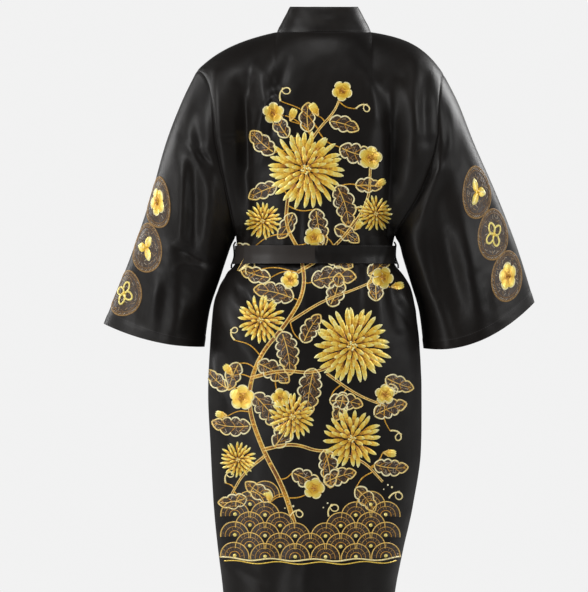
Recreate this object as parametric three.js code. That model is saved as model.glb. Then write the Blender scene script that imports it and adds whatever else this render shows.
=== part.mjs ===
// A wrap robe of kimono cut in its worn shape, hollow and belted.
// Units are millimetres, +Z is up, the front of the robe faces -Y and +X is the robe's own left side.
// The origin lies midway between the shoulder seams, level with the foot of the neckband.
import * as THREE from "three";

// Driving sizes
const WALL = 1.6;
const BAND_WALL = 2.4;
const BELT_WALL = 2.2;
const SEAM_GAP = 0.3;
const LAY_GAP = 0.8;
const HEM = -1165;
const UNDERARM = -395;
const YOKE = -200;
const NECK_ANGLE = 30;
const NECK_HALF = 92;
const NECK_BACK = 62;
const NECK_FRONT = 46;
const BAND_WIDTH = 50;
const BAND_TOP_HALF = 66;
const BELT_MIDDLE = -431;
const BELT_WIDTH = 36;
const BELT_OFF = 1.6;
const WRAP_LIFT = 6;
const LOOP_LENGTH = 52;
const LOOP_OFF = 1.2;
const LOOP_WIDTH = 8;
const LOOP_SEWN = 0.14;
const SIDE = 90;

// The knot: its place and size, how far down it is flat, and its two grooves.
const KNOT = { x: 6, wide: 52, high: 46, deep: 26, flat: 0.8, groove: 0.14, grooveAt: 0.5, grooveWide: 0.16 };
const KNOT_SOFTNESS = { side: 0.75, front: 0.7 };
const KNOT_STEPS = { round: 16, up: 10 };

// Where the cloth holds or frees its folds: under the belt, below the shoulder seam and near each side seam.
const BELT_GRIP = { reach: 28, share: 0.9 };
const SHOULDER_FADE = 120;
const SEAM_FADE = 14;
const ARMHOLE_FADE = { degrees: 10, share: 0.6, height: 70 };

// The left front lies over the right one: angles and heights between which its lift comes in.
const WRAP = { starts: 72, full: 38, otherEnd: -60, top: -20, low: -170 };

// The neckband stands up round the neckline and lies flat down the fronts, and changes over between these.
const BAND_TURN = { lies: -150, stands: -10 };
const BAND_MIDDLE_Y = 12;
const BAND_DEPTH_TAPER = 0.84;
const BAND_SLANT_DEPTH = 120;

// Torso and skirt sections by height: middle line, half width, depth to the back and to the front.
const BODY = [
  { z: -1165, middle: 31, half: 160, back: 98, front: 100 },
  { z: -1084, middle: 29, half: 168, back: 102, front: 102 },
  { z: -1002, middle: 26, half: 181, back: 107, front: 105 },
  { z: -920, middle: 21, half: 194, back: 113, front: 108 },
  { z: -811, middle: 16, half: 205, back: 122, front: 113 },
  { z: -700, middle: 18, half: 208, back: 130, front: 117 },
  { z: -603, middle: 18, half: 204, back: 134, front: 118 },
  { z: -538, middle: 19, half: 197, back: 130, front: 115 },
  { z: -495, middle: 18, half: 187, back: 121, front: 111 },
  { z: -468, middle: 18, half: 171, back: 109, front: 106 },
  { z: -449, middle: 18, half: 156, back: 99, front: 102 },
  { z: -431, middle: 18, half: 151, back: 96, front: 101 },
  { z: -413, middle: 18, half: 152, back: 98, front: 103 },
  { z: -395, middle: 17, half: 155, back: 101, front: 105 },
  { z: -330, middle: 13, half: 158, back: 110, front: 112 },
  { z: -260, middle: 9, half: 160, back: 118, front: 117 },
  { z: -200, middle: 5, half: 162, back: 121, front: 118 },
];
const SQUARENESS = 2.3;
const SHOULDER_ROUND = 2.2;
const SHOULDER_CURVE = { even: 1.15, drop: 3.6 };
const NECK_TOP = 3;
const NECK_DROP_BACK = 4;
const NECK_DROP_FRONT = 34;

// Armhole seam above the underarm: how far out it is, its depth to the back and to the front, and how far
// the panel has turned towards the side where it ends.
const ARMHOLE = {
  left: [
    { z: -395, out: 172, back: 0, front: 0, turn: 90 },
    { z: -378, out: 177, back: 25, front: 21, turn: 82 },
    { z: -350, out: 184, back: 45, front: 38, turn: 74 },
    { z: -300, out: 194, back: 63, front: 53, turn: 66 },
    { z: -250, out: 203, back: 73, front: 62, turn: 60 },
    { z: -200, out: 212, back: 78, front: 66, turn: 56 },
  ],
  right: [
    { z: -395, out: 138, back: 0, front: 0, turn: 90 },
    { z: -378, out: 148, back: 25, front: 21, turn: 82 },
    { z: -350, out: 166, back: 45, front: 38, turn: 74 },
    { z: -300, out: 192, back: 63, front: 53, turn: 66 },
    { z: -250, out: 210, back: 73, front: 62, turn: 60 },
    { z: -200, out: 220, back: 78, front: 66, turn: 56 },
  ],
};
const SHOULDER_TIP = {
  left: { out: 248, z: -72, droop: 0.6 },
  right: { out: 234, z: -80, droop: 0.38 },
};

// Sleeve sections from the armhole to the cuff: outer edge x1 z1, inner edge x2 z2, depth to the back and the
// front, how far the section leans forward, how full its outer half is and how far its cuff line sags.
const SLEEVE = {
  left: [
    { s: 0, x1: 248, z1: -72, x2: 172, z2: -395, back: 80, front: 66, lean: 0, full: 0.25, sag: 0 },
    { s: 0.125, x1: 276, z1: -129, x2: 180, z2: -410, back: 80, front: 70, lean: -2, full: 0.2, sag: 0 },
    { s: 0.29, x1: 308, z1: -211, x2: 188, z2: -432, back: 74, front: 70, lean: -6, full: 0.12, sag: 0 },
    { s: 0.505, x1: 339, z1: -320, x2: 204, z2: -480, back: 68, front: 68, lean: -11, full: 0, sag: 2 },
    { s: 0.725, x1: 376, z1: -429, x2: 223, z2: -538, back: 68, front: 68, lean: -15, full: -0.15, sag: 6 },
    { s: 1, x1: 430, z1: -565, x2: 234, z2: -610, back: 74, front: 72, lean: -18, full: -0.3, sag: 11 },
  ],
  right: [
    { s: 0, x1: 234, z1: -80, x2: 138, z2: -395, back: 80, front: 66, lean: 0, full: 0.25, sag: 0 },
    { s: 0.125, x1: 261, z1: -133, x2: 147, z2: -410, back: 80, front: 70, lean: -2, full: 0.2, sag: 2 },
    { s: 0.29, x1: 292, z1: -211, x2: 154, z2: -436, back: 76, front: 70, lean: -6, full: 0.12, sag: 6 },
    { s: 0.505, x1: 339, z1: -318, x2: 169, z2: -484, back: 72, front: 68, lean: -11, full: 0, sag: 14 },
    { s: 0.74, x1: 381, z1: -427, x2: 186, z2: -542, back: 72, front: 68, lean: -15, full: -0.12, sag: 24 },
    { s: 1, x1: 411, z1: -523, x2: 195, z2: -613, back: 78, front: 72, lean: -18, full: -0.25, sag: 29 },
  ],
};

// Where each front panel meets the neckband, counted from the middle line towards the panel's own side.
const FRONT_EDGE = [
  { z: -1165, across: -72 },
  { z: -700, across: -66 },
  { z: -500, across: -58 },
  { z: -427, across: -48 },
  { z: -360, across: -24 },
  { z: -280, across: 8 },
  { z: -200, across: 42 },
  { z: -140, across: 62 },
  { z: -80, across: 78 },
  { z: 0, across: 92 },
];

// Folds: each runs from x1 z1 past x2 z2 to x3 z3. Rise is the height of a ridge, and below zero the depth
// of a trough.
const BACK_FOLDS = [
  { x1: 158, z1: -110, x2: 163, z2: -210, x3: 160, z3: -400, width: 15, rise: -30 },
  { x1: -132, z1: -120, x2: -143, z2: -230, x3: -132, z3: -400, width: 15, rise: -32 },
  { x1: 128, z1: -215, x2: 120, z2: -150, x3: 96, z3: -126, width: 10, rise: 7 },
  { x1: 96, z1: -126, x2: 80, z2: -140, x3: 66, z3: -182, width: 10, rise: 6 },
  { x1: 98, z1: -210, x2: 96, z2: -180, x3: 94, z3: -160, width: 11, rise: -7 },
  { x1: 86, z1: -30, x2: 108, z2: -80, x3: 122, z3: -150, width: 14, rise: 5 },
  { x1: 74, z1: -60, x2: 88, z2: -110, x3: 104, z3: -150, width: 10, rise: -5 },
  { x1: -112, z1: -190, x2: -108, z2: -290, x3: -110, z3: -380, width: 12, rise: -7 },
  { x1: 120, z1: -280, x2: 116, z2: -330, x3: 110, z3: -400, width: 12, rise: -6 },
  { x1: 186, z1: -462, x2: 150, z2: -520, x3: 70, z3: -575, width: 13, rise: 8 },
  { x1: 180, z1: -500, x2: 150, z2: -560, x3: 90, z3: -610, width: 12, rise: -8 },
  { x1: 205, z1: -520, x2: 180, z2: -590, x3: 120, z3: -650, width: 14, rise: 7 },
  { x1: 214, z1: -580, x2: 196, z2: -640, x3: 160, z3: -700, width: 13, rise: -6 },
  { x1: -120, z1: -450, x2: -134, z2: -500, x3: -146, z3: -570, width: 11, rise: -9 },
  { x1: -96, z1: -450, x2: -106, z2: -510, x3: -110, z3: -600, width: 12, rise: 6 },
  { x1: 190, z1: -680, x2: 186, z2: -780, x3: 182, z3: -900, width: 16, rise: 6 },
  { x1: -160, z1: -640, x2: -158, z2: -780, x3: -140, z3: -960, width: 16, rise: 5 },
  { x1: -30, z1: -940, x2: -44, z2: -1050, x3: -50, z3: -1165, width: 20, rise: 6 },
  { x1: 86, z1: -960, x2: 92, z2: -1060, x3: 96, z3: -1165, width: 18, rise: -6 },
];
const FRONT_FOLDS = [
  { x1: 158, z1: -120, x2: 160, z2: -220, x3: 158, z3: -400, width: 15, rise: -26 },
  { x1: -132, z1: -130, x2: -140, z2: -230, x3: -130, z3: -400, width: 15, rise: -26 },
  { x1: 118, z1: -150, x2: 108, z2: -260, x3: 86, z3: -400, width: 14, rise: -8 },
  { x1: -92, z1: -150, x2: -90, z2: -270, x3: -70, z3: -400, width: 14, rise: -8 },
  { x1: 96, z1: -450, x2: 110, z2: -560, x3: 118, z3: -760, width: 14, rise: -9 },
  { x1: 130, z1: -450, x2: 152, z2: -560, x3: 160, z3: -720, width: 14, rise: 7 },
  { x1: 60, z1: -452, x2: 40, z2: -620, x3: 34, z3: -900, width: 18, rise: 7 },
  { x1: -84, z1: -450, x2: -104, z2: -560, x3: -114, z3: -760, width: 14, rise: -9 },
  { x1: -110, z1: -450, x2: -136, z2: -580, x3: -146, z3: -780, width: 15, rise: 6 },
  { x1: 10, z1: -800, x2: 4, z2: -980, x3: 0, z3: -1165, width: 22, rise: -8 },
  { x1: 110, z1: -900, x2: 118, z2: -1040, x3: 122, z3: -1165, width: 20, rise: 7 },
];
const SLEEVE_FOLDS = {
  left: [
    { x1: 238, z1: -105, x2: 244, z2: -190, x3: 234, z3: -260, width: 12, rise: -10 },
    { x1: 218, z1: -120, x2: 214, z2: -190, x3: 204, z3: -262, width: 10, rise: 6 },
    { x1: 208, z1: -196, x2: 192, z2: -200, x3: 172, z3: -198, width: 9, rise: -5 },
    { x1: 262, z1: -215, x2: 246, z2: -235, x3: 238, z3: -270, width: 10, rise: 7 },
    { x1: 274, z1: -255, x2: 276, z2: -340, x3: 276, z3: -410, width: 12, rise: 8 },
    { x1: 254, z1: -255, x2: 252, z2: -340, x3: 256, z3: -415, width: 12, rise: -10 },
    { x1: 228, z1: -300, x2: 226, z2: -380, x3: 230, z3: -440, width: 13, rise: 7 },
    { x1: 282, z1: -416, x2: 256, z2: -436, x3: 220, z3: -450, width: 8, rise: -7 },
    { x1: 284, z1: -455, x2: 286, z2: -520, x3: 290, z3: -590, width: 16, rise: 7 },
    { x1: 254, z1: -470, x2: 256, z2: -540, x3: 256, z3: -600, width: 14, rise: -8 },
  ],
  right: [
    { x1: -150, z1: -160, x2: -146, z2: -200, x3: -150, z3: -228, width: 9, rise: 7 },
    { x1: -150, z1: -226, x2: -186, z2: -206, x3: -216, z3: -232, width: 9, rise: 9 },
    { x1: -176, z1: -252, x2: -180, z2: -280, x3: -160, z3: -330, width: 14, rise: -14 },
    { x1: -216, z1: -240, x2: -218, z2: -270, x3: -190, z3: -350, width: 11, rise: 8 },
    { x1: -152, z1: -368, x2: -176, z2: -450, x3: -232, z3: -600, width: 13, rise: 9 },
    { x1: -222, z1: -300, x2: -232, z2: -420, x3: -270, z3: -590, width: 20, rise: -8 },
    { x1: -280, z1: -400, x2: -292, z2: -480, x3: -300, z3: -575, width: 20, rise: 7 },
    { x1: -236, z1: -100, x2: -226, z2: -180, x3: -222, z3: -250, width: 10, rise: -5 },
  ],
};
const FOLD_STEPS = 8;
const FOLD_ENDS = 0.55;

// Hanging ends of the belt: where each leaves the knot and ends, counted across from the knot, its length and
// the height of its soft waves.
const TAILS = {
  left: { from: 12, to: 50, length: 345, wave: 2.5 },
  right: { from: -12, to: -34, length: 318, wave: 3 },
};
const TAIL_TOP_WIDTH = 19;
const TAIL_SHAPE = { widens: 0.14, drops: 0.1, waves: 0.2, spread: 0.7, waveTurns: 9, waveSlant: 3 };

// Grids of the pieces
const BACK_COLUMNS = 26;
const FRONT_COLUMNS = 13;
const NECK_COLUMNS = 8;
const SKIRT_ROWS = 20;
const SLEEVE_RINGS = 16;
const SLEEVE_BLEND = 0.42;
const SLEEVE_FOLDS_START = { from: 0.02, full: 0.16 };
const RING_CROWDING = 1.15;
const LEAST_MITRE = 0.6;
const BAND_COLUMNS = 3;
const BELT_ROWS = 2;
const BELT_COLUMNS = 60;
const LOOP_ROWS = 10;
const TAIL_ROWS = 14;
const TAIL_COLUMNS = 3;
const ANGLE_STEP = 0.6;
const HEIGHT_STEP = 2;
const RUN_STEP = 4;
const WAIST_ROWS = [-46, -31, -18, -6, 6, 18];
const ARM_ROWS = [-395, -386, -372, -352, -326, -296, -264, -232, -200, -162, -124, -84, -42, 0];

const rad = (degrees) => (degrees * Math.PI) / 180;
const clamp01 = (x) => Math.min(1, Math.max(0, x));
const mix = (a, b, t) => a + (b - a) * t;
const ease = (from, to, x) => {
  const t = clamp01((x - from) / (to - from));
  return t * t * (3 - 2 * t);
};
const sideOf = (angle) => (angle >= 0 ? "left" : "right");
const signOf = (side) => (side === "left" ? 1 : -1);

// Slope of a table's column at row i, flat at a turning point, so that the curve never overshoots its rows.
function slopeAt(table, key, column, i) {
  const rise = (j) => (table[j + 1][column] - table[j][column]) / (table[j + 1][key] - table[j][key]);
  if (i === 0) return rise(0);
  if (i === table.length - 1) return rise(i - 1);
  const [before, after] = [rise(i - 1), rise(i)];
  return before * after <= 0 ? 0 : (2 * before * after) / (before + after);
}

// Reads one column of a table smoothly between its rows.
function readTable(table, key, at, column) {
  const last = table.length - 1;
  const x = Math.min(table[last][key], Math.max(table[0][key], at));
  let i = 0;
  while (i < last - 1 && x > table[i + 1][key]) i += 1;
  const span = table[i + 1][key] - table[i][key];
  const t = (x - table[i][key]) / span;
  const [a, b] = [table[i][column], table[i + 1][column]];
  const [p, q] = [slopeAt(table, key, column, i) * span, slopeAt(table, key, column, i + 1) * span];
  return (2 * t ** 3 - 3 * t ** 2 + 1) * a + (t ** 3 - 2 * t ** 2 + t) * p
    + (3 * t ** 2 - 2 * t ** 3) * b + (t ** 3 - t ** 2) * q;
}

// The points of a fold's line, which is bent by its middle point.
function foldLine(fold) {
  return Array.from({ length: FOLD_STEPS + 1 }, (_, k) => {
    const t = k / FOLD_STEPS;
    const [a, b, c] = [(1 - t) ** 2, 2 * t * (1 - t), t ** 2];
    return { x: a * fold.x1 + b * fold.x2 + c * fold.x3, z: a * fold.z1 + b * fold.z2 + c * fold.z3 };
  });
}

for (const folds of [BACK_FOLDS, FRONT_FOLDS, SLEEVE_FOLDS.left, SLEEVE_FOLDS.right]) {
  for (const fold of folds) {
    fold.line = foldLine(fold);
    fold.reach = fold.width + Math.hypot(fold.x3 - fold.x1, fold.z3 - fold.z1) / (FOLD_STEPS * 4);
  }
}

// How far a place is from a fold's line, and how far along the line its nearest point is, from 0 to 1.
function nearestOnFold(line, x, z) {
  let found = { far: Infinity, place: 0 };
  for (let k = 0; k < FOLD_STEPS; k += 1) {
    const [a, b] = [line[k], line[k + 1]];
    const [runX, runZ] = [b.x - a.x, b.z - a.z];
    const t = clamp01(((x - a.x) * runX + (z - a.z) * runZ) / (runX ** 2 + runZ ** 2));
    const far = Math.hypot(a.x + t * runX - x, a.z + t * runZ - z);
    if (far < found.far) found = { far, place: (k + t) / FOLD_STEPS };
  }
  return found;
}

// Height of all the folds of a list at one place.
function foldRise(folds, x, z) {
  let total = 0;
  for (const fold of folds) {
    const { far, place } = nearestOnFold(fold.line, x, z);
    const along = FOLD_ENDS + (1 - FOLD_ENDS) * Math.sin(Math.PI * place);
    total += fold.rise * Math.exp(-((far / fold.reach) ** 2)) * along;
  }
  return total;
}

// One horizontal section of the torso at height z. The angle runs from 0 at the middle to 90 at the side seam
// or armhole, positive towards +X. Face is +1 for the back and -1 for the front.
function sectionPoint(face, angle, z) {
  const side = sideOf(angle);
  const middle = readTable(BODY, "z", z, "middle");
  const depth = readTable(BODY, "z", z, face > 0 ? "back" : "front");
  const above = z > UNDERARM;
  const hole = (column) => readTable(ARMHOLE[side], "z", z, column);
  const half = signOf(side) * readTable(BODY, "z", z, "half");
  const out = above ? signOf(side) * hole("out") : middle + half;
  const edgeDepth = above ? hole(face > 0 ? "back" : "front") : 0;
  const turn = above ? rad(hole("turn")) : rad(SIDE);
  const a = (Math.abs(angle) / SIDE) * turn;
  const across = (Math.sin(a) / Math.sin(turn)) ** (2 / SQUARENESS);
  const deep = ((Math.cos(a) - Math.cos(turn)) / (1 - Math.cos(turn))) ** (2 / SQUARENESS);
  return new THREE.Vector3(mix(middle, out, across), face * mix(edgeDepth, depth, deep), z);
}

// The top edge of the torso: the neckline near the middle and the shoulder seam beyond it.
function topPoint(face, angle) {
  const side = sideOf(angle);
  const sign = signOf(side);
  if (Math.abs(angle) < NECK_ANGLE) {
    const b = rad((90 * Math.abs(angle)) / NECK_ANGLE);
    const depth = face > 0 ? NECK_BACK : NECK_FRONT;
    const drop = face > 0 ? NECK_DROP_BACK : NECK_DROP_FRONT;
    const z = NECK_TOP - drop * Math.cos(b);
    return new THREE.Vector3(sign * NECK_HALF * Math.sin(b), face * depth * Math.cos(b), z);
  }
  const tip = SHOULDER_TIP[side];
  const t = (Math.abs(angle) - NECK_ANGLE) / (SIDE - NECK_ANGLE);
  const slope = tip.droop * t ** SHOULDER_CURVE.even + (1 - tip.droop) * t ** SHOULDER_CURVE.drop;
  return new THREE.Vector3(sign * mix(NECK_HALF, tip.out, t), 0, mix(NECK_TOP, tip.z, slope));
}

// The torso with no folds. Up to the yoke, height is z. From there to 0 it turns over the shoulder.
function bareBody(face, angle, height) {
  if (height <= YOKE) return sectionPoint(face, angle, height);
  const low = sectionPoint(face, angle, YOKE);
  const top = topPoint(face, angle);
  const turn = rad(90 * clamp01((height - YOKE) / -YOKE));
  const round = 2 / SHOULDER_ROUND;
  const up = Math.sin(turn) ** round;
  const deep = Math.max(0, Math.cos(turn)) ** round;
  const x = mix(top.x, low.x, Math.cos(turn));
  return new THREE.Vector3(x, mix(top.y, low.y, deep), mix(low.z, top.z, up));
}

// Outward direction of a surface of two parameters, from points a small step to each side, inside limits.
function outward(surface, a, b, limits, flip) {
  const a0 = Math.max(limits.a0, a - ANGLE_STEP);
  const a1 = Math.min(limits.a1, a + ANGLE_STEP);
  const b0 = Math.max(limits.b0, b - HEIGHT_STEP);
  const b1 = Math.min(limits.b1, b + HEIGHT_STEP);
  const along = surface(a1, b).sub(surface(a0, b));
  const up = surface(a, b1).sub(surface(a, b0));
  return along.cross(up).normalize().multiplyScalar(flip);
}

// The height limit keeps a normal at the underarm on the side that its panel is on.
function bodyLimits(height) {
  const above = height > UNDERARM + 1;
  return { a0: -SIDE, a1: SIDE, b0: above ? UNDERARM : HEM, b1: above ? 0 : UNDERARM };
}

// How far a front panel is lifted where it wraps over the other one.
function wrapLift(panel, angle, height) {
  if (!panel.lift) return 0;
  const inwards = ease(WRAP.starts, WRAP.full, signOf(panel.side) * angle);
  return panel.lift * inwards * ease(WRAP.top, WRAP.low, height);
}

// How much of the folds is left at one place: none at the side and shoulder seams, little under the belt.
function foldShare(angle, height) {
  const fade = 1 - ease(-SHOULDER_FADE, 0, height);
  const atSeam = ease(SIDE, SIDE - SEAM_FADE, Math.abs(angle));
  const atArmhole = 1 - ARMHOLE_FADE.share * ease(SIDE - ARMHOLE_FADE.degrees, SIDE, Math.abs(angle));
  const nearSide = mix(atSeam, atArmhole, ease(UNDERARM, UNDERARM + ARMHOLE_FADE.height, height));
  const gripped = 1 - BELT_GRIP.share * Math.exp(-(((height - BELT_MIDDLE) / BELT_GRIP.reach) ** 2));
  return fade * nearSide * gripped;
}

// A point of the folded cloth. Panel gives its face, its folds and how far it lies over another panel.
function clothPoint(panel, angle, height) {
  const bare = (a, h) => bareBody(panel.face, a, h);
  const at = bare(angle, height);
  const n = outward(bare, angle, height, bodyLimits(height), -panel.face);
  const rise = foldRise(panel.folds, at.x, at.z) * foldShare(angle, height);
  return at.addScaledVector(n, rise + wrapLift(panel, angle, height));
}

// Outward direction of a panel's own cloth, which two panels share along the side and shoulder seams.
function panelNormal(panel, angle, height) {
  const sideways = new THREE.Vector3(signOf(sideOf(angle)), 0, 0);
  if (Math.abs(angle) === SIDE && height <= UNDERARM) return sideways;
  if (height === 0 && Math.abs(angle) >= NECK_ANGLE) {
    const step = Math.abs(angle) > NECK_ANGLE ? -1 : 1;
    const next = topPoint(1, angle + step * signOf(sideOf(angle)));
    const run = next.sub(topPoint(1, angle));
    const n = new THREE.Vector3(-run.z, 0, run.x).normalize();
    return n.z < 0 ? n.negate() : n;
  }
  const surface = (a, h) => clothPoint(panel, a, h);
  return outward(surface, angle, height, bodyLimits(height), -panel.face);
}

// Outer and inner point of a panel's wall. Round an armhole, panel and sleeve share a mitred direction.
function wallPair(panel, angle, height) {
  const outer = clothPoint(panel, angle, height);
  const atArmhole = Math.abs(angle) === SIDE && height >= UNDERARM;
  if (atArmhole) {
    const step = armholeMitre(sideOf(angle), panel.face, height);
    return { outer, inner: outer.clone().addScaledVector(step, -WALL) };
  }
  return { outer, inner: outer.clone().addScaledVector(panelNormal(panel, angle, height), -WALL) };
}

const BACK = { face: 1, folds: BACK_FOLDS, lift: 0, side: "left" };
const FRONT = {
  left: { face: -1, folds: FRONT_FOLDS, lift: WRAP_LIFT, side: "left" },
  right: { face: -1, folds: FRONT_FOLDS, lift: 0, side: "right" },
};

// The angle at which the front of the torso has a given x.
function angleAt(x, height) {
  let [low, high] = [-SIDE, SIDE];
  for (let halvings = 0; halvings < 40; halvings += 1) {
    const middle = (low + high) / 2;
    if (bareBody(-1, middle, height).x < x) low = middle;
    else high = middle;
  }
  return (low + high) / 2;
}

// The angle of a front panel's edge at its neckband.
function edgeAngle(side, height) {
  const sign = signOf(side);
  if (height === 0) return sign * NECK_ANGLE;
  const middle = readTable(BODY, "z", height, "middle") * ease(0, YOKE, height);
  return angleAt(middle + sign * readTable(FRONT_EDGE, "z", height, "across"), height);
}

// Moves the last pair of a row towards the one before it, to leave a seam's gap.
function drawIn(pair, towards, by) {
  for (const face of ["outer", "inner"]) {
    const step = towards[face].clone().sub(pair[face]).normalize().multiplyScalar(by);
    pair[face].add(step);
  }
}

// Leaves the seam gap along each side of a grid that meets another piece.
function openSeams(grid, sides) {
  const last = grid.length - 1;
  const half = SEAM_GAP / 2;
  const end = grid[0].length - 1;
  const copy = grid.map((row) => row.map((p) => ({ outer: p.outer.clone(), inner: p.inner.clone() })));
  if (sides.start) grid.forEach((row, i) => drawIn(row[0], copy[i][1], half));
  if (sides.end) grid.forEach((row, i) => drawIn(row[end], copy[i][end - 1], half));
  if (sides.bottom) grid[0].forEach((p, j) => drawIn(p, copy[1][j], half));
  if (sides.top) grid[last].forEach((p, j) => drawIn(p, copy[last - 1][j], half));
  return grid;
}

// Closes a grid of wall points into one solid. A ring grid joins its last column to its first.
function solidWall(grid, ring = false) {
  const rows = grid.length;
  const columns = grid[0].length;
  const points = [];
  const faces = [];
  for (const face of ["outer", "inner"]) {
    for (const row of grid) for (const p of row) points.push(p[face].x, p[face].y, p[face].z);
  }
  const outer = (i, j) => i * columns + (j % columns);
  const inner = (i, j) => rows * columns + outer(i, j);
  const quad = (a, b, c, d) => faces.push(a, b, c, a, c, d);
  // A twisted rim is split from its upper outer corner on both sides of a seam, so the pieces stay parted.
  const order = (k) => points[3 * k + 2] * 1000 + points[3 * k];
  const rim = (outerA, innerA, innerB, outerB) => {
    if (order(outerA) > order(outerB)) quad(outerA, innerA, innerB, outerB);
    else faces.push(outerB, outerA, innerA, outerB, innerA, innerB);
  };
  const across = ring ? columns : columns - 1;
  for (let i = 0; i < rows - 1; i += 1) {
    for (let j = 0; j < across; j += 1) {
      quad(outer(i, j), outer(i, j + 1), outer(i + 1, j + 1), outer(i + 1, j));
      quad(inner(i, j), inner(i + 1, j), inner(i + 1, j + 1), inner(i, j + 1));
    }
  }
  for (let j = 0; j < across; j += 1) {
    rim(outer(0, j), inner(0, j), inner(0, j + 1), outer(0, j + 1));
    rim(outer(rows - 1, j + 1), inner(rows - 1, j + 1), inner(rows - 1, j), outer(rows - 1, j));
  }
  if (!ring) {
    const end = columns - 1;
    for (let i = 0; i < rows - 1; i += 1) {
      rim(outer(i + 1, 0), inner(i + 1, 0), inner(i, 0), outer(i, 0));
      rim(outer(i, end), inner(i, end), inner(i + 1, end), outer(i + 1, end));
    }
  }
  const geometry = new THREE.BufferGeometry();
  geometry.setAttribute("position", new THREE.Float32BufferAttribute(points, 3));
  geometry.setIndex(faces);
  geometry.computeVertexNormals();
  return facingOut(geometry);
}

// Turns a closed geometry's faces outwards.
function facingOut(geometry) {
  const p = geometry.getAttribute("position");
  const index = geometry.getIndex();
  const [a, b, c] = [new THREE.Vector3(), new THREE.Vector3(), new THREE.Vector3()];
  let volume = 0;
  for (let k = 0; k < index.count; k += 3) {
    a.fromBufferAttribute(p, index.getX(k));
    b.fromBufferAttribute(p, index.getX(k + 1));
    c.fromBufferAttribute(p, index.getX(k + 2));
    volume += a.dot(b.cross(c));
  }
  if (volume < 0) {
    for (let k = 0; k < index.count; k += 3) {
      const swap = index.getX(k + 1);
      index.setX(k + 1, index.getX(k + 2));
      index.setX(k + 2, swap);
    }
    geometry.computeVertexNormals();
  }
  return geometry;
}

// Numbers spread evenly from one to another, both included.
function spread(from, to, steps) {
  return Array.from({ length: steps + 1 }, (_, i) => mix(from, to, i / steps));
}

// Heights of the rows of every torso panel, from the hem to the shoulder, with closer rows round the belt.
const SKIRT_TOP = BELT_MIDDLE + WAIST_ROWS[0];
const HEIGHTS = [
  ...spread(HEM, SKIRT_TOP, SKIRT_ROWS).slice(0, -1),
  ...WAIST_ROWS.map((step) => BELT_MIDDLE + step),
  ...ARM_ROWS,
];

// The neck's columns, which the back and the neckband share.
const NECK_ANGLES = spread(-NECK_ANGLE, NECK_ANGLE, NECK_COLUMNS);

function backAngles() {
  const beside = (BACK_COLUMNS - NECK_COLUMNS) / 2;
  const shoulder = spread(NECK_ANGLE, SIDE, beside).slice(1);
  return [...shoulder.map((a) => -a).reverse(), ...NECK_ANGLES, ...shoulder];
}

function backGrid() {
  const angles = backAngles();
  return HEIGHTS.map((height) => angles.map((angle) => wallPair(BACK, angle, height)));
}

// A front panel runs from its side seam and armhole to its neckband.
function frontGrid(side) {
  const outer = signOf(side) * SIDE;
  return HEIGHTS.map((height) => {
    const angles = spread(outer, edgeAngle(side, height), FRONT_COLUMNS);
    return angles.map((angle) => wallPair(FRONT[side], angle, height));
  });
}

// The sleeve section at s, from its table. Turn runs round it from the outer edge over the back.
function sleeveSection(side, s, turn) {
  const row = (column) => readTable(SLEEVE[side], "s", s, column);
  const p = (1 - Math.cos(turn)) / 2;
  const x = mix(row("x1"), row("x2"), p);
  const z = mix(row("z1"), row("z2"), p) - row("sag") * Math.sin(turn) ** 2;
  const depth = Math.sin(turn) > 0 ? row("back") : row("front");
  const y = row("lean") + depth * Math.sin(turn) * (1 + row("full") * Math.cos(turn));
  return new THREE.Vector3(signOf(side) * x, y, z);
}

// The armhole's stops, from the shoulder down the back to the underarm, then up the front.
const ARM_STOPS = [
  ...[...ARM_ROWS].reverse().map((height) => ({ face: 1, height })),
  ...ARM_ROWS.slice(1, -1).map((height) => ({ face: -1, height })),
];
const HALF_LOOP = ARM_ROWS.length - 1;

// Outer points of a sleeve, ring by ring. It starts on the armhole's points and eases into its own sections.
function sleeveRings(side) {
  const angle = signOf(side) * SIDE;
  const count = ARM_STOPS.length;
  const panelOf = (face) => (face > 0 ? BACK : FRONT[side]);
  const loop = ARM_STOPS.map(({ face, height }) => clothPoint(panelOf(face), angle, height));
  const turnOf = (j) => (Math.PI * j) / HALF_LOOP;
  const point = (s, j) => {
    const at = sleeveSection(side, s, turnOf(j));
    const start = loop[j].clone().sub(sleeveSection(side, 0, turnOf(j)));
    at.addScaledVector(start, (1 - ease(0, SLEEVE_BLEND, s)) ** 2);
    const started = ease(SLEEVE_FOLDS_START.from, SLEEVE_FOLDS_START.full, s);
    at.y += Math.sin(turnOf(j)) * foldRise(SLEEVE_FOLDS[side], at.x, at.z) * started;
    return at;
  };
  const places = spread(0, 1, SLEEVE_RINGS).map((place) => place ** RING_CROWDING);
  return places.map((s) => Array.from({ length: count }, (_, j) => point(s, j)));
}

// Outward direction of a sleeve's own cloth at ring i and stop j.
function sleeveNormal(rings, side, i, j) {
  const count = ARM_STOPS.length;
  const round = rings[i][(j + 1) % count].clone().sub(rings[i][(j + count - 1) % count]);
  const along = rings[Math.min(i + 1, SLEEVE_RINGS)][j].clone().sub(rings[Math.max(i - 1, 0)][j]);
  return along.cross(round).normalize().multiplyScalar(signOf(side));
}

// Halfway between the directions of a sleeve and its panel, longer where they meet at a sharp angle.
function mitresOf(side) {
  const rings = sleeveRings(side);
  const angle = signOf(side) * SIDE;
  return ARM_STOPS.map(({ face, height }, j) => {
    const own = panelNormal(face > 0 ? BACK : FRONT[side], angle, height);
    const middle = sleeveNormal(rings, side, 0, j).add(own).normalize();
    return middle.multiplyScalar(1 / Math.max(LEAST_MITRE, middle.dot(own)));
  });
}

const mitres = {};

function armholeMitre(side, face, height) {
  mitres[side] ??= mitresOf(side);
  const shared = height === 0 || height === UNDERARM;
  const isHere = (stop) => stop.height === height && (shared || stop.face === face);
  return mitres[side][ARM_STOPS.findIndex(isHere)];
}

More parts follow.
